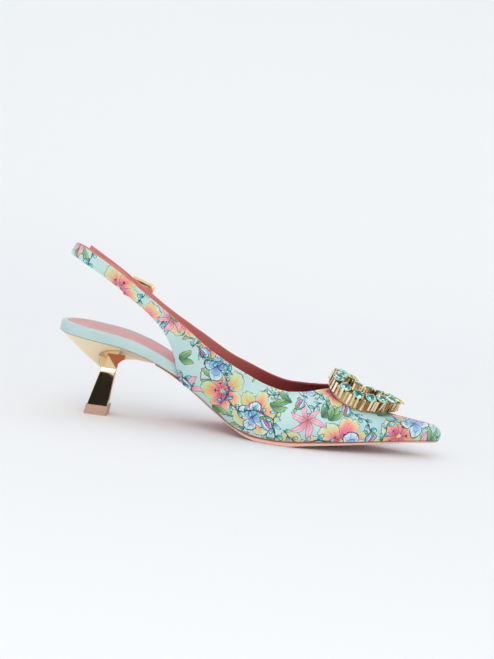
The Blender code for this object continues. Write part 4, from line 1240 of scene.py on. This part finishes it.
def make_sock(pink):
    """The sock's sheet with a soft edge and the creases of its leather at the ball."""
    rows = []
    for near_edge, near_out, far_edge, far_out in zip(NEAR, NEAR_OUT, FAR, FAR_OUT):
        near = near_edge - near_out * (sock_inset(near_edge[0]) + SOCK_CLEAR)
        far = far_edge - far_out * (sock_inset(far_edge[0]) + SOCK_CLEAR)
        row = []
        for share in np.linspace(-1.0, 1.0, SOCK_COLUMNS):
            plan = near * (1.0 - share) / 2.0 + far * (1.0 + share) / 2.0
            edge = min(1.0, (1.0 - abs(share)) / SOCK_EDGE)
            high = board_top(near_edge[0]) - SOCK_THICK * 0.5 * (1.0 - math.sqrt(edge))
            row.append((*plan, high + crease_height(*plan) * edge))
        rows.append(row)
    top = np.array(rows)
    low = top.copy()
    low[:, :, 2] = [[board_top(x) - SOCK_THICK] for x in NEAR[:, 0]]
    wide, tall = top.shape[:2]
    points = np.concatenate([top.reshape(-1, 3), low.reshape(-1, 3)])
    index = np.arange(wide * tall).reshape(wide, tall)
    quads = np.stack([index[:-1, :-1], index[1:, :-1], index[1:, 1:], index[:-1, 1:]], -1).reshape(-1, 4)
    faces = quads.tolist() + (quads[:, ::-1] + wide * tall).tolist()
    border = np.concatenate([index[:-1, 0], index[-1, :-1], index[:0:-1, -1], index[0, :0:-1]])
    for a, b in zip(border, np.roll(border, -1)):
        faces.append((a, b, b + wide * tall, a + wide * tall))
    mesh = mesh_from("sock_lining", points, faces, None, 60.0)
    tidy_mesh(mesh)
    return add_piece("sock_lining", mesh, [pink], ["sock"])


# The sole's edge from its foot up: how far it stands out, and the share of the sole's thickness
SOLE_EDGE = ((-1.0, 0.0), (-0.55, 0.05), (-0.2, 0.16), (0.0, 0.32), (0.0, 0.55), (-0.04, 0.75), (-0.12, 0.9),
             (-0.3, 1.0))


def make_outsole(edge_paint, tread):
    """The sole: a painted edge with a soft shoulder and a leather underside."""
    layers = edge_layers(SOLE_EDGE, sole_reach, under_sole, lambda x: under_board(x) - GAP)
    points, faces, underside = slab(SOLE_BACK, TOE, layers)
    mesh = mesh_from("sole", points, faces, underside, 50.0)
    tidy_mesh(mesh)
    return add_piece("sole", mesh, [edge_paint, tread], ["outsole"])


def make_feather_line(brown):
    """The thin cord of edge colour in the seam between the upper, the footbed and the sole."""
    path = []
    for spot, out in edge_run(SOLE_BACK, TOE, -1) + edge_run(SOLE_BACK, TOE, 1)[-2::-1]:
        reach = min(sole_reach(spot[0]) + 0.1, FEATHER_OUT)
        path.append((*(spot + out * reach), under_board(spot[0]) - 0.5 * GAP))
    mesh = mesh_from("feather_line", *tube(path, FEATHER_RADIUS, 10))
    return add_piece("feather_line", mesh, [brown])


# Heel and buckle

# Degrees: below the first an edge is no fold, above the second it is softened
FLAT_ANGLE = 0.8
SHARP_ANGLE = 24.0


def bevelled_copy(node, name, material, width):
    """A copy of a rigid node with softened edges."""
    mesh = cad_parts[node].data.copy()
    mesh.name = name
    mesh.materials.clear()
    work = bmesh.new()
    work.from_mesh(mesh)
    bmesh.ops.remove_doubles(work, verts=work.verts, dist=2e-6)
    folds = [edge for edge in work.edges if edge.is_manifold]
    flat = [edge for edge in folds if edge.calc_face_angle() < math.radians(FLAT_ANGLE)]
    bmesh.ops.dissolve_edges(work, edges=flat, use_verts=False)
    folds = [edge for edge in work.edges if edge.is_manifold]
    sharp = [edge for edge in folds if edge.calc_face_angle() > math.radians(SHARP_ANGLE)]
    soft = set(bmesh.ops.bevel(work, geom=sharp, offset=width * MM, segments=3, profile=0.6, affect="EDGES",
                               clamp_overlap=True)["faces"])
    for face in work.faces:
        face.smooth = True
    for edge in work.edges:
        edge.smooth = len({face in soft for face in edge.link_faces}) == 1
    bmesh.ops.triangulate(work, faces=[face for face in work.faces if len(face.verts) > 4])
    bmesh.ops.recalc_face_normals(work, faces=work.faces)
    work.to_mesh(mesh)
    work.free()
    return add_piece(name, mesh, [material], [node])


def paint_notch(piece, material):
    """Gives the inner walls of the heel's two notches the heel's plating with painted reflections of their
    own.
    """
    mesh = piece.data
    mesh.materials.append(material)
    low = place((NOTCH_BACK, -NOTCH_HALF, NOTCH_FLOOR))
    high = place((NOTCH_FRONT + NOTCH_LEAN, NOTCH_HALF, NOTCH_LIP))
    for face in mesh.polygons:
        inside = all(low[k] - 1e-4 < face.center[k] < high[k] + 1e-4 for k in range(3))
        if inside and abs(face.normal.y) > 0.8:
            face.material_index = 1


def strap_axes():
    """The buckle's place on the arm and its axes: along the strap, across it and out of it."""
    ends = []
    for name in ("arm_buckle", "tail"):
        rib = RIB_NAMED[name]
        ends.append(np.array([(rib.top_x, rib.top_y, rib.top_z), (rib.foot_x, rib.foot_y, rib.foot_z)]))
    (top, foot), other = ends
    centre = (top + foot) / 2.0
    along = unit((other[0] + other[1]) / 2.0 - centre)
    out = unit(np.cross(unit(top - foot), along))
    if out[1] < 0.0:
        out = -out
    turn = -math.radians(BUCKLE_TURN)
    along = along * math.cos(turn) + np.cross(out, along) * math.sin(turn)
    return centre, along, np.cross(out, along), out


def buckle_outline(inset):
    """A line of the buckle's band, set in from its middle, as places along the buckle and across it."""
    long = BUCKLE_LONG / 2.0 - inset - BUCKLE_CORNER
    wide = BUCKLE_WIDE / 2.0 - inset - BUCKLE_CORNER
    outline = []
    for quarter, (sx, sy) in enumerate(((1, 1), (-1, 1), (-1, -1), (1, -1))):
        for k in range(9):
            turn = (quarter + k / 8.0) * math.pi / 2.0
            outline.append((sx * long + BUCKLE_CORNER * math.cos(turn),
                            sy * wide + BUCKLE_CORNER * math.sin(turn)))
    return outline


def make_buckle(metal):
    """The buckle's frame, its bar at the sling's end and the prong with its hinge loop."""
    centre, along, across, out = strap_axes()
    outlines = [buckle_outline(share * BUCKLE_BAND / 2.0) for share in (-1.0, 0.0, 1.0)]
    points = []
    for outer, middle, inner in zip(*outlines):
        for (a, b), lift in ((outer, 0.0), (middle, -0.5), (inner, 0.0), (middle, 0.5)):
            points.append(centre + along * a + across * b + out * (BUCKLE_LIFT + BUCKLE_DEEP * lift))
    mesh = mesh_from("buckle", points, band_faces(len(outlines[0]), 4), None, 30.0)
    tidy_mesh(mesh)
    add_piece("buckle", mesh, [metal], ["buckle_frame"])
    high = BUCKLE_LIFT + BUCKLE_DEEP / 2.0 + PRONG_WIRE + GAP
    reach = BUCKLE_LONG / 2.0
    spots, sizes = [], []
    for share in np.linspace(-1.0, PRONG_END, 15):
        sag = PRONG_SAG * (1.0 - share * share) if share < 1.0 else 0.0
        spots.append(centre + along * reach * share + out * (high - sag))
        sizes.append(PRONG_WIRE * (1.0 - PRONG_TAPER * max(0.0, share)))
    prong_part = tube(spots, sizes, 12, up=out, flatten=0.85)
    circle = []
    for turn in np.linspace(0.0, math.tau, 20, endpoint=False):
        wide = (BUCKLE_BAND / 2.0 + PRONG_WIRE) * math.sin(turn)
        deep = (BUCKLE_DEEP / 2.0 + PRONG_WIRE) * math.cos(turn)
        circle.append(centre - along * (reach + wide) + out * (BUCKLE_LIFT + deep))
    loop_part = tube(circle, PRONG_WIRE * 0.8, 10, closed=True, up=across)
    mesh = mesh_from("prong", *join([prong_part, loop_part]))
    return add_piece("prong", mesh, [metal], ["buckle_prong"])


def make_buckle_strap(satin, lining, edge_paint):
    """The strap's run through the buckle: a strip that bows out in the frame and dips under both its bars."""
    centre, along, across, out = strap_axes()
    half_long = BUCKLE_LONG / 2.0 + 1.0
    half_wide = (BUCKLE_WIDE - BUCKLE_BAND) / 2.0 - GAP
    section = [(b, RUN_THICK) for b in np.linspace(-1.0, 1.0, 7)] + [(1.06, RUN_THICK / 2.0)]
    section += [(b, 0.0) for b in np.linspace(1.0, -1.0, 7)] + [(-1.06, RUN_THICK / 2.0)]
    count, around = 19, len(section)
    points, pattern = [], []
    for share in np.linspace(-1.0, 1.0, count):
        low = 0.05 + RUN_BOW * math.cos(share * math.pi / 2.0) ** 2
        for b, lift in section:
            points.append(centre + along * share * half_long + across * b * half_wide + out * (low + lift))
            pattern.append((share * half_long + RUN_PRINT, b * half_wide, 0.0))
    numbers = range(count * around)
    faces = band_faces(count, around, closed=False) + [numbers[:around], numbers[-around:]]
    material_index = ([0] * 6 + [2] * 2 + [1] * 6 + [2] * 2) * (count - 1) + [2, 2]
    mesh = mesh_from("buckle_run", np.array(points), faces, material_index, 50.0)
    lay_print(mesh, pattern)
    tidy_mesh(mesh)
    return add_piece("buckle_run", mesh, [satin, lining, edge_paint])


# Brooch

def heart_top(x, y):
    """The height of the stones' tables over the plan."""
    return HEART_TOP + HEART_PITCH * (x - HEART_TOP_X) - y * y / (2.0 * HEART_BEND)


def heart_base(x, y):
    """The height of the settings' feet over the plan."""
    return BASE_TOP + BASE_PITCH * (x - HEART_TOP_X) - y * y / (2.0 * BASE_BEND)


def below_girdle(plan, fall):
    """The place in plan of a setting's wall at some depth below the girdles."""
    return plan - np.array([-HEART_PITCH, SETTING_SPLAY * plan[1] / HEART_BEND]) * fall


def setting_wall(plan, fall):
    """The foot of a setting's wall and its head at some depth below the girdles."""
    foot = below_girdle(plan, SETTING_HEIGHT)
    head = np.array([*below_girdle(plan, fall), heart_top(*plan) - CROWN_HEIGHT - fall])
    return np.array([*foot, heart_base(*foot)]), head


def heart_loop(count):
    """Evenly spaced points round the heart and their outward plan normals, from the notch on."""
    half = np.stack([HEART["x"], HEART["y"]], 1)
    mirror = half[-2:0:-1] * (1.0, -1.0)
    loop = np.concatenate([half, mirror])
    wrapped = np.concatenate([loop[-2:], loop, loop[:3]])
    fine = spline(wrapped, HEART_STEPS)[2 * HEART_STEPS:-2 * HEART_STEPS]
    length = run_length(fine)
    points = between(np.arange(count) / count * length[-1], length, fine).T
    along = np.roll(points, -1, axis=0) - np.roll(points, 1, axis=0)
    return points, unit(np.stack([-along[:, 1], along[:, 0]], 1))


def make_brooch_core(metal):
    """The ring that carries the settings: plain walls with a rail below and a lip under the stones."""
    count = HEART_STONES * 12
    points, out = heart_loop(count)
    # Section of one wall from its foot up: share of the height, and how far it stands out
    section = ((0.0, -0.50), (0.04, -0.15), (0.10, -0.15), (0.13, -0.55), (0.88, -0.55), (0.92, 0.0),
               (0.97, 0.0), (1.0, -0.3))
    rings = []
    for i in range(count):
        ring = []
        for side in (1.0, -1.0):
            wall = []
            for share, stand in section:
                plan = points[i] + out[i] * side * (FRAME_WIDTH / 2.0 + stand)
                foot, head = setting_wall(plan, PAVILION_HEIGHT + 2.0 * GAP)
                wall.append(foot + share * (head - foot))
            ring.extend(wall if side > 0 else wall[::-1])
        rings.append(ring)
    faces = band_faces(count, len(rings[0]))
    mesh = mesh_from("brooch_settings", np.array(rings).reshape(-1, 3), faces, None, 32.0)
    tidy_mesh(mesh)
    return add_piece("brooch_settings", mesh, [metal], ["brooch_frame"])


# A bar is a box with a smaller box's face on it: corners of its rectangles, the sides of a box and its front
BAR_CORNERS = ((-1, -1), (1, -1), (1, 1), (-1, 1))
BAR_SIDES = ((0, 4, 5, 1), (1, 5, 6, 2), (2, 6, 7, 3), (3, 7, 4, 0))
BAR_FRONT = (4, 7, 6, 5)
# Painted shine of a bar's front, from a dark reflection to a white glint
BAR_PAINTED_SHINE = (0.2, 0.64, 0.8, 0.9, 1.0)


def make_brooch_bars(metal):
    """Cut bars that stand side by side round both walls of the heart, none quite like its neighbour."""
    spots, normals = heart_loop(HEART_STONES * BARS_PER_STONE)
    dice = np.random.default_rng(5)
    faces = [(0, 1, 2, 3), *BAR_SIDES]
    faces += [tuple(index + 4 for index in quad) for quad in (BAR_FRONT, *BAR_SIDES)]
    parts, tones = [], []
    for point, out in zip(spots, normals):
        for side in (1.0, -1.0):
            foot, head = setting_wall(point + out * side * (FRAME_WIDTH / 2.0 - 0.5), 0.5)
            foot = foot + (head - foot) * dice.uniform(0.03, 0.12)
            yaw, lean = dice.normal(0.0, BAR_YAW), dice.normal(0.0, BAR_LEAN)
            up = unit(head - foot)
            face = np.array([*out, 0.0]) * side
            along = unit(np.cross(up, face))
            face = np.cross(along, up)
            face, along = (face * math.cos(yaw) + along * math.sin(yaw),
                           along * math.cos(yaw) - face * math.sin(yaw))
            centre = (foot + head) / 2.0 + up * 0.2
            rise = np.linalg.norm(head - foot) / 2.0 - 0.2
            up = unit(up + face * lean)
            wide = BAR_WIDE / 2.0 * dice.uniform(0.85, 1.15)
            corners = []
            for cut, deep in ((0.0, 0.0), (0.0, BAR_DEEP - BAR_CUT), (BAR_CUT, BAR_DEEP)):
                for a, b in BAR_CORNERS:
                    corners.append(centre + along * a * (wide - cut) + up * b * (rise - cut) + face * deep)
            parts.append((corners, faces))
            # Painted light: bars of the inner wall get painted shade, the back and sides of each bar a darker
            # painted shade than its front
            shine = dice.choice(BAR_PAINTED_SHINE) * (1.0 if side > 0 else 0.7)
            tones.extend([0.55 * shine] * (1 + len(BAR_SIDES)) + [shine])
            tones.extend(np.clip(shine + dice.normal(0.0, 0.25, len(BAR_SIDES)), 0.0, 1.0))
    mesh = mesh_from("brooch_bars", *join(parts), None, 5.0)
    give_tones(mesh, "bar_painted_light", tones)
    tidy_mesh(mesh)
    return add_piece("brooch_bars", mesh, [metal])


# The two pear stones by their places round the heart
PEARS = {0: "stone_pear_back", HEART_STONES // 2: "stone_pear_front"}


def girdle(point):
    """The centre of a stone's girdle."""
    return np.array([*point, heart_top(*point) - CROWN_HEIGHT])


def stone_axes(point):
    """A stone's axes: ahead, to the side and up out of its setting."""
    up = unit([-HEART_PITCH, STONE_TILT * point[1] / HEART_BEND, 1.0])
    ahead = unit(np.array([1.0, 0.0, 0.0]) - up * up[0])
    return np.array([ahead, np.cross(up, ahead), up])


# A brilliant's rings: share of the radius, height in millimetres, number of corners, turn in half steps
BRILLIANT = (
    (0.50, 1.50, 8, 0),
    (0.78, 1.10, 8, 1),
    (1.00, 0.28, 16, 0),
    (1.00, -0.05, 16, 0),
    (0.62, -0.75, 8, 1),
    (0.30, -1.30, 8, 0),
)


def brilliant(pear):
    """Points and triangles of a cut stone about its girdle's centre."""
    rings = []
    for share, height, corners, turn in BRILLIANT:
        ring = []
        for k in range(corners):
            angle = math.tau * (k + 0.5 * turn) / corners
            c, s = math.cos(angle), math.sin(angle)
            ring.append((STONE_RADIUS * share * c, STONE_RADIUS * share * s, height))
        rings.append(ring)
    hull_points = [np.array(p) for ring in rings for p in ring]
    if pear:
        for p in hull_points:
            reach = max(p[0], 0.0) / STONE_RADIUS
            p[0] += PEAR_STRETCH * reach**2 * STONE_RADIUS
            p[1] *= 1.0 - PEAR_TAPER * reach
    work = bmesh.new()
    corners = [work.verts.new(p) for p in hull_points]
    bmesh.ops.convex_hull(work, input=corners)
    bmesh.ops.recalc_face_normals(work, faces=work.faces)
    work.verts.index_update()
    points = [tuple(vertex.co) for vertex in work.verts]
    faces = [tuple(vertex.index for vertex in face.verts) for face in work.faces]
    work.free()
    return points, faces


def facet_painted_light(slope, dice):
    """A facet's painted reflection from its slope: dark painted reflections on the tables, painted glints
    round them, pale girdles and undersides.
    """
    if slope > 0.95:
        return dice.choice((0.0, 0.04, 0.1, 0.16))
    if slope > 0.75:
        return dice.choice((0.05, 0.15, 0.28, 0.4, 0.95))
    if slope > 0.1:
        return dice.uniform(0.45, 0.8)
    return dice.uniform(0.4, 0.75)


def make_stones(aqua, lime):
    """Cut stones on their settings; every facet gets a painted reflection of its own."""
    spots, _ = heart_loop(HEART_STONES)
    dice = np.random.default_rng(11)
    number = 0
    for i, point in enumerate(spots):
        pear = i in PEARS
        if pear:
            node = PEARS[i]
        else:
            number += 1
            node = f"stone_{number:02d}"
        local, faces = brilliant(pear)
        axes = stone_axes(point)
        spin = 0.0 if pear else dice.uniform(0.0, 0.4)
        c, s = math.cos(spin), math.sin(spin)
        turn = np.array([[c, s, 0], [-s, c, 0], [0, 0, 1]])
        mesh = mesh_from(f"gem_{node}", girdle(point) + np.array(local) @ turn @ axes, faces, None, 1.0)
        tidy_mesh(mesh)
        tones = [facet_painted_light(np.dot(axes[2], face.normal), dice) for face in mesh.polygons]
        give_tones(mesh, "facet_painted_light", tones)
        material, slot = (lime, "lime_stone") if pear else (aqua, "aqua_stone")
        add_piece(f"gem_{node}", mesh, [material], [node])


# A claw from its foot to its tip: how far it stands off the stone, height over the girdle, thickness
CLAW = columns(
    "off     lift   wire",
    (0.15,  -2.6,   0.40),
    (0.3,   -1.2,   0.38),
    (0.38,  -0.2,   0.37),
    (0.22,   0.42,  0.36),
    (-0.28,  0.78,  0.32),
    (-0.62,  0.84,  0.18),
)


def make_claws(metal):
    """Four rounded claws that hold each stone at its girdle."""
    spots, normals = heart_loop(HEART_STONES)
    parts = []
    for i, (point, out) in enumerate(zip(spots, normals)):
        axes = stone_axes(point)
        outward = np.array([*out, 0.0])
        heading = math.atan2(outward @ axes[1], outward @ axes[0])
        for corner in (0.25, 0.75, 1.25, 1.75):
            turn = heading + corner * math.pi
            reach = STONE_RADIUS
            if i in PEARS and math.cos(turn) > 0.0:
                reach *= 1.06
            way = axes[0] * math.cos(turn) + axes[1] * math.sin(turn)
            path = []
            for off, lift in zip(CLAW["off"], CLAW["lift"]):
                path.append(girdle(point) + way * (reach + off) + axes[2] * lift)
            parts.append(tube(path, CLAW["wire"], 8, up=np.cross(way, axes[2])))
    return add_piece("brooch_claws", mesh_from("brooch_claws", *join(parts)), [metal])


# Stage, in metres

SWEEP_HALF = 4.0
SWEEP_FRONT = -3.0
SWEEP_TURN = 1.2
SWEEP_ROUND = 0.9
SWEEP_HIGH = 4.0


def make_stage():
    """A pale sweep that is floor under the shoe and backdrop behind it."""
    section = [(SWEEP_FRONT, 0.0)]
    for turn in np.linspace(0.0, math.pi / 2.0, 17):
        section.append((SWEEP_TURN + SWEEP_ROUND * math.sin(turn), SWEEP_ROUND * (1.0 - math.cos(turn))))
    section.append((SWEEP_TURN + SWEEP_ROUND, SWEEP_HIGH))
    points = [(side * SWEEP_HALF, y, z) for y, z in section for side in (-1.0, 1.0)]
    faces = [(2 * i, 2 * i + 1, 2 * i + 3, 2 * i + 2) for i in range(len(section) - 1)]
    mesh = bpy.data.meshes.new("sweep")
    mesh.from_pydata(points, [], faces)
    mesh.shade_smooth()
    material, tree, shader = new_material("sweep", roughness=0.7, specular_ior_level=0.1)
    cloud, _ = noise(tree, object_vector(tree), 1.5)
    floor, wall = srgb(232, 233, 235), srgb(241, 243, 244)
    _, y, _ = split_vector(tree, object_vector(tree))
    away = y + (cloud - 0.5) * 0.2
    tree.links.new(away.rise(0.2, 1.6).ramp((0.0, floor), (1.0, wall)), shader.inputs["Base Color"])
    mesh.materials.append(material)
    sweep = bpy.data.objects.new("sweep", mesh)
    bpy.context.scene.collection.objects.link(sweep)


def make_flag():
    """A dark card beside the camera that only mirrors see."""
    mesh = bpy.data.meshes.new("flag")
    corners = [(-0.16, 0.0, -0.1), (0.16, 0.0, -0.1), (0.16, 0.0, 0.3), (-0.16, 0.0, 0.3)]
    mesh.from_pydata(corners, [], [(0, 1, 2, 3)])
    material, _, _ = new_material("flag", base_color=(0.01, 0.009, 0.006), roughness=1.0)
    mesh.materials.append(material)
    card = bpy.data.objects.new("flag", mesh)
    card.location = (-0.21, -1.1, 0.1)
    for ray in ("camera", "diffuse", "shadow", "transmission"):
        setattr(card, f"visible_{ray}", False)
    bpy.context.scene.collection.objects.link(card)


# Lights: name, place, what it points at, size, watts
LIGHTS = (
    ("key", (-0.3, -0.9, 1.6), (0.0, 0.0, 0.05), 1.0, 2.6),
    ("strip", (-0.12, -1.2, 0.95), (-0.09, 0.0, 0.03), 0.45, 1.6),
    ("fill", (0.6, -1.6, 0.5), (0.0, 0.0, 0.05), 1.4, 3.6),
    ("back", (0.2, 1.0, 1.3), (0.0, 0.0, 0.05), 1.2, 2.0),
)


def light_scene():
    """An even pale surround and four round area lights."""
    world = bpy.data.worlds.new("studio")
    bpy.context.scene.world = world
    world.use_nodes = True
    sky = world.node_tree.nodes["Background"]
    sky.inputs["Color"].default_value = (0.975, 0.985, 1.0, 1.0)
    sky.inputs["Strength"].default_value = 0.96
    for name, spot, aim, size, watts in LIGHTS:
        light = bpy.data.lights.new(name, "AREA")
        light.shape = "DISK"
        light.size = size
        light.energy = watts
        lamp = bpy.data.objects.new(name, light)
        lamp.location = spot
        lamp.rotation_euler = (Vector(aim) - Vector(spot)).to_track_quat("-Z", "Y").to_euler()
        bpy.context.scene.collection.objects.link(lamp)


def aim_camera():
    """A camera at the photograph's angle to the shoe, with the photograph's field of view."""
    azimuth, elevation, roll = (math.radians(a) for a in (CAMERA_AZIMUTH, CAMERA_ELEVATION, CAMERA_ROLL))
    back = np.array([math.sin(azimuth) * math.cos(elevation), -math.cos(azimuth) * math.cos(elevation),
                     math.sin(elevation)])
    right = unit(np.cross((0.0, 0.0, 1.0), back))
    up = np.cross(back, right)
    right, up = (right * math.cos(roll) + up * math.sin(roll), up * math.cos(roll) - right * math.sin(roll))
    optics = bpy.data.cameras.new("camera")
    optics.sensor_fit = "VERTICAL"
    optics.sensor_height = SENSOR
    optics.lens = FOCAL_PIXELS / IMAGE_HEIGHT * SENSOR
    camera = bpy.data.objects.new("camera", optics)
    turn = Matrix((right, up, back)).transposed().to_4x4()
    camera.matrix_world = Matrix.Translation(place(CAMERA_TARGET) + back * CAMERA_DISTANCE * MM) @ turn
    bpy.context.scene.collection.objects.link(camera)
    bpy.context.scene.camera = camera


def main():
    """Builds the stage, the materials and the pieces."""
    bpy.context.scene.view_settings.view_transform = "Standard"
    aim_camera()
    make_stage()
    make_flag()
    light_scene()
    satin = satin_print()
    lining = lining_leather()
    aqua = leather("aqua_leather", srgb(177, 202, 200), 0.34, 1500.0, 0.00004, mottle=0.02, coat=0.25)
    pink = leather("sock_leather", srgb(206, 138, 138), 0.42, 1300.0, 0.00006, mottle=0.03, coat=0.1,
                   creases=1.2)
    paint = leather("edge_paint", srgb(226, 160, 130), 0.4, 2000.0, 0.00002, mottle=0.03)
    sole_edge = leather("sole_edge", srgb(240, 188, 174), 0.35, 1800.0, 0.00003, mottle=0.02, coat=0.2)
    tread = leather("tread_leather", srgb(214, 160, 146), 0.5, 900.0, 0.00008, mottle=0.05)
    brown = leather("feather_paint", srgb(150, 84, 52), 0.5, 1800.0, 0.00003)
    thread = leather("thread", srgb(176, 200, 198), 0.7, 2600.0, 0.00003, mottle=0.05)
    rubber = leather("tip_rubber", srgb(190, 152, 132), 0.5, 1100.0, 0.00005, mottle=0.03)
    shade = leather("hole_shade", srgb(60, 34, 32), 0.8, 2000.0, 0.00002)
    plate = gold("heel_plating", 0.06, (250, 233, 198))
    trim = gold("trim_plating", 0.10, (244, 216, 164))
    # Painted shade: the core gets a darker copy of the trim plating, for the recess under the bars
    shaded_trim = gold("core_painted_shade", 0.22, (196, 162, 108))
    aqua_stone = stone("aqua_crystal", srgb(6, 52, 56), srgb(58, 164, 156), srgb(152, 228, 214))
    lime_stone = stone("lime_crystal", srgb(70, 84, 20), srgb(142, 156, 62), srgb(192, 208, 112))

    make_upper(satin, lining, paint)
    make_stitches(thread)
    make_strap_fold(satin, lining, paint)
    make_strap_holes(shade, paint)
    make_footbed(aqua)
    make_sock(pink)
    make_outsole(sole_edge, tread)
    make_feather_line(brown)
    paint_notch(bevelled_copy("heel", "heel_block", plate, 0.22), notch_painted_light())
    bevelled_copy("heel_tip", "top_piece", rubber, 0.3)
    make_buckle(trim)
    make_buckle_strap(satin, lining, paint)
    make_brooch_core(shaded_trim)
    make_brooch_bars(bar_gold())
    make_stones(aqua_stone, lime_stone)
    make_claws(trim)

    bpy.context.view_layer.update()


main()
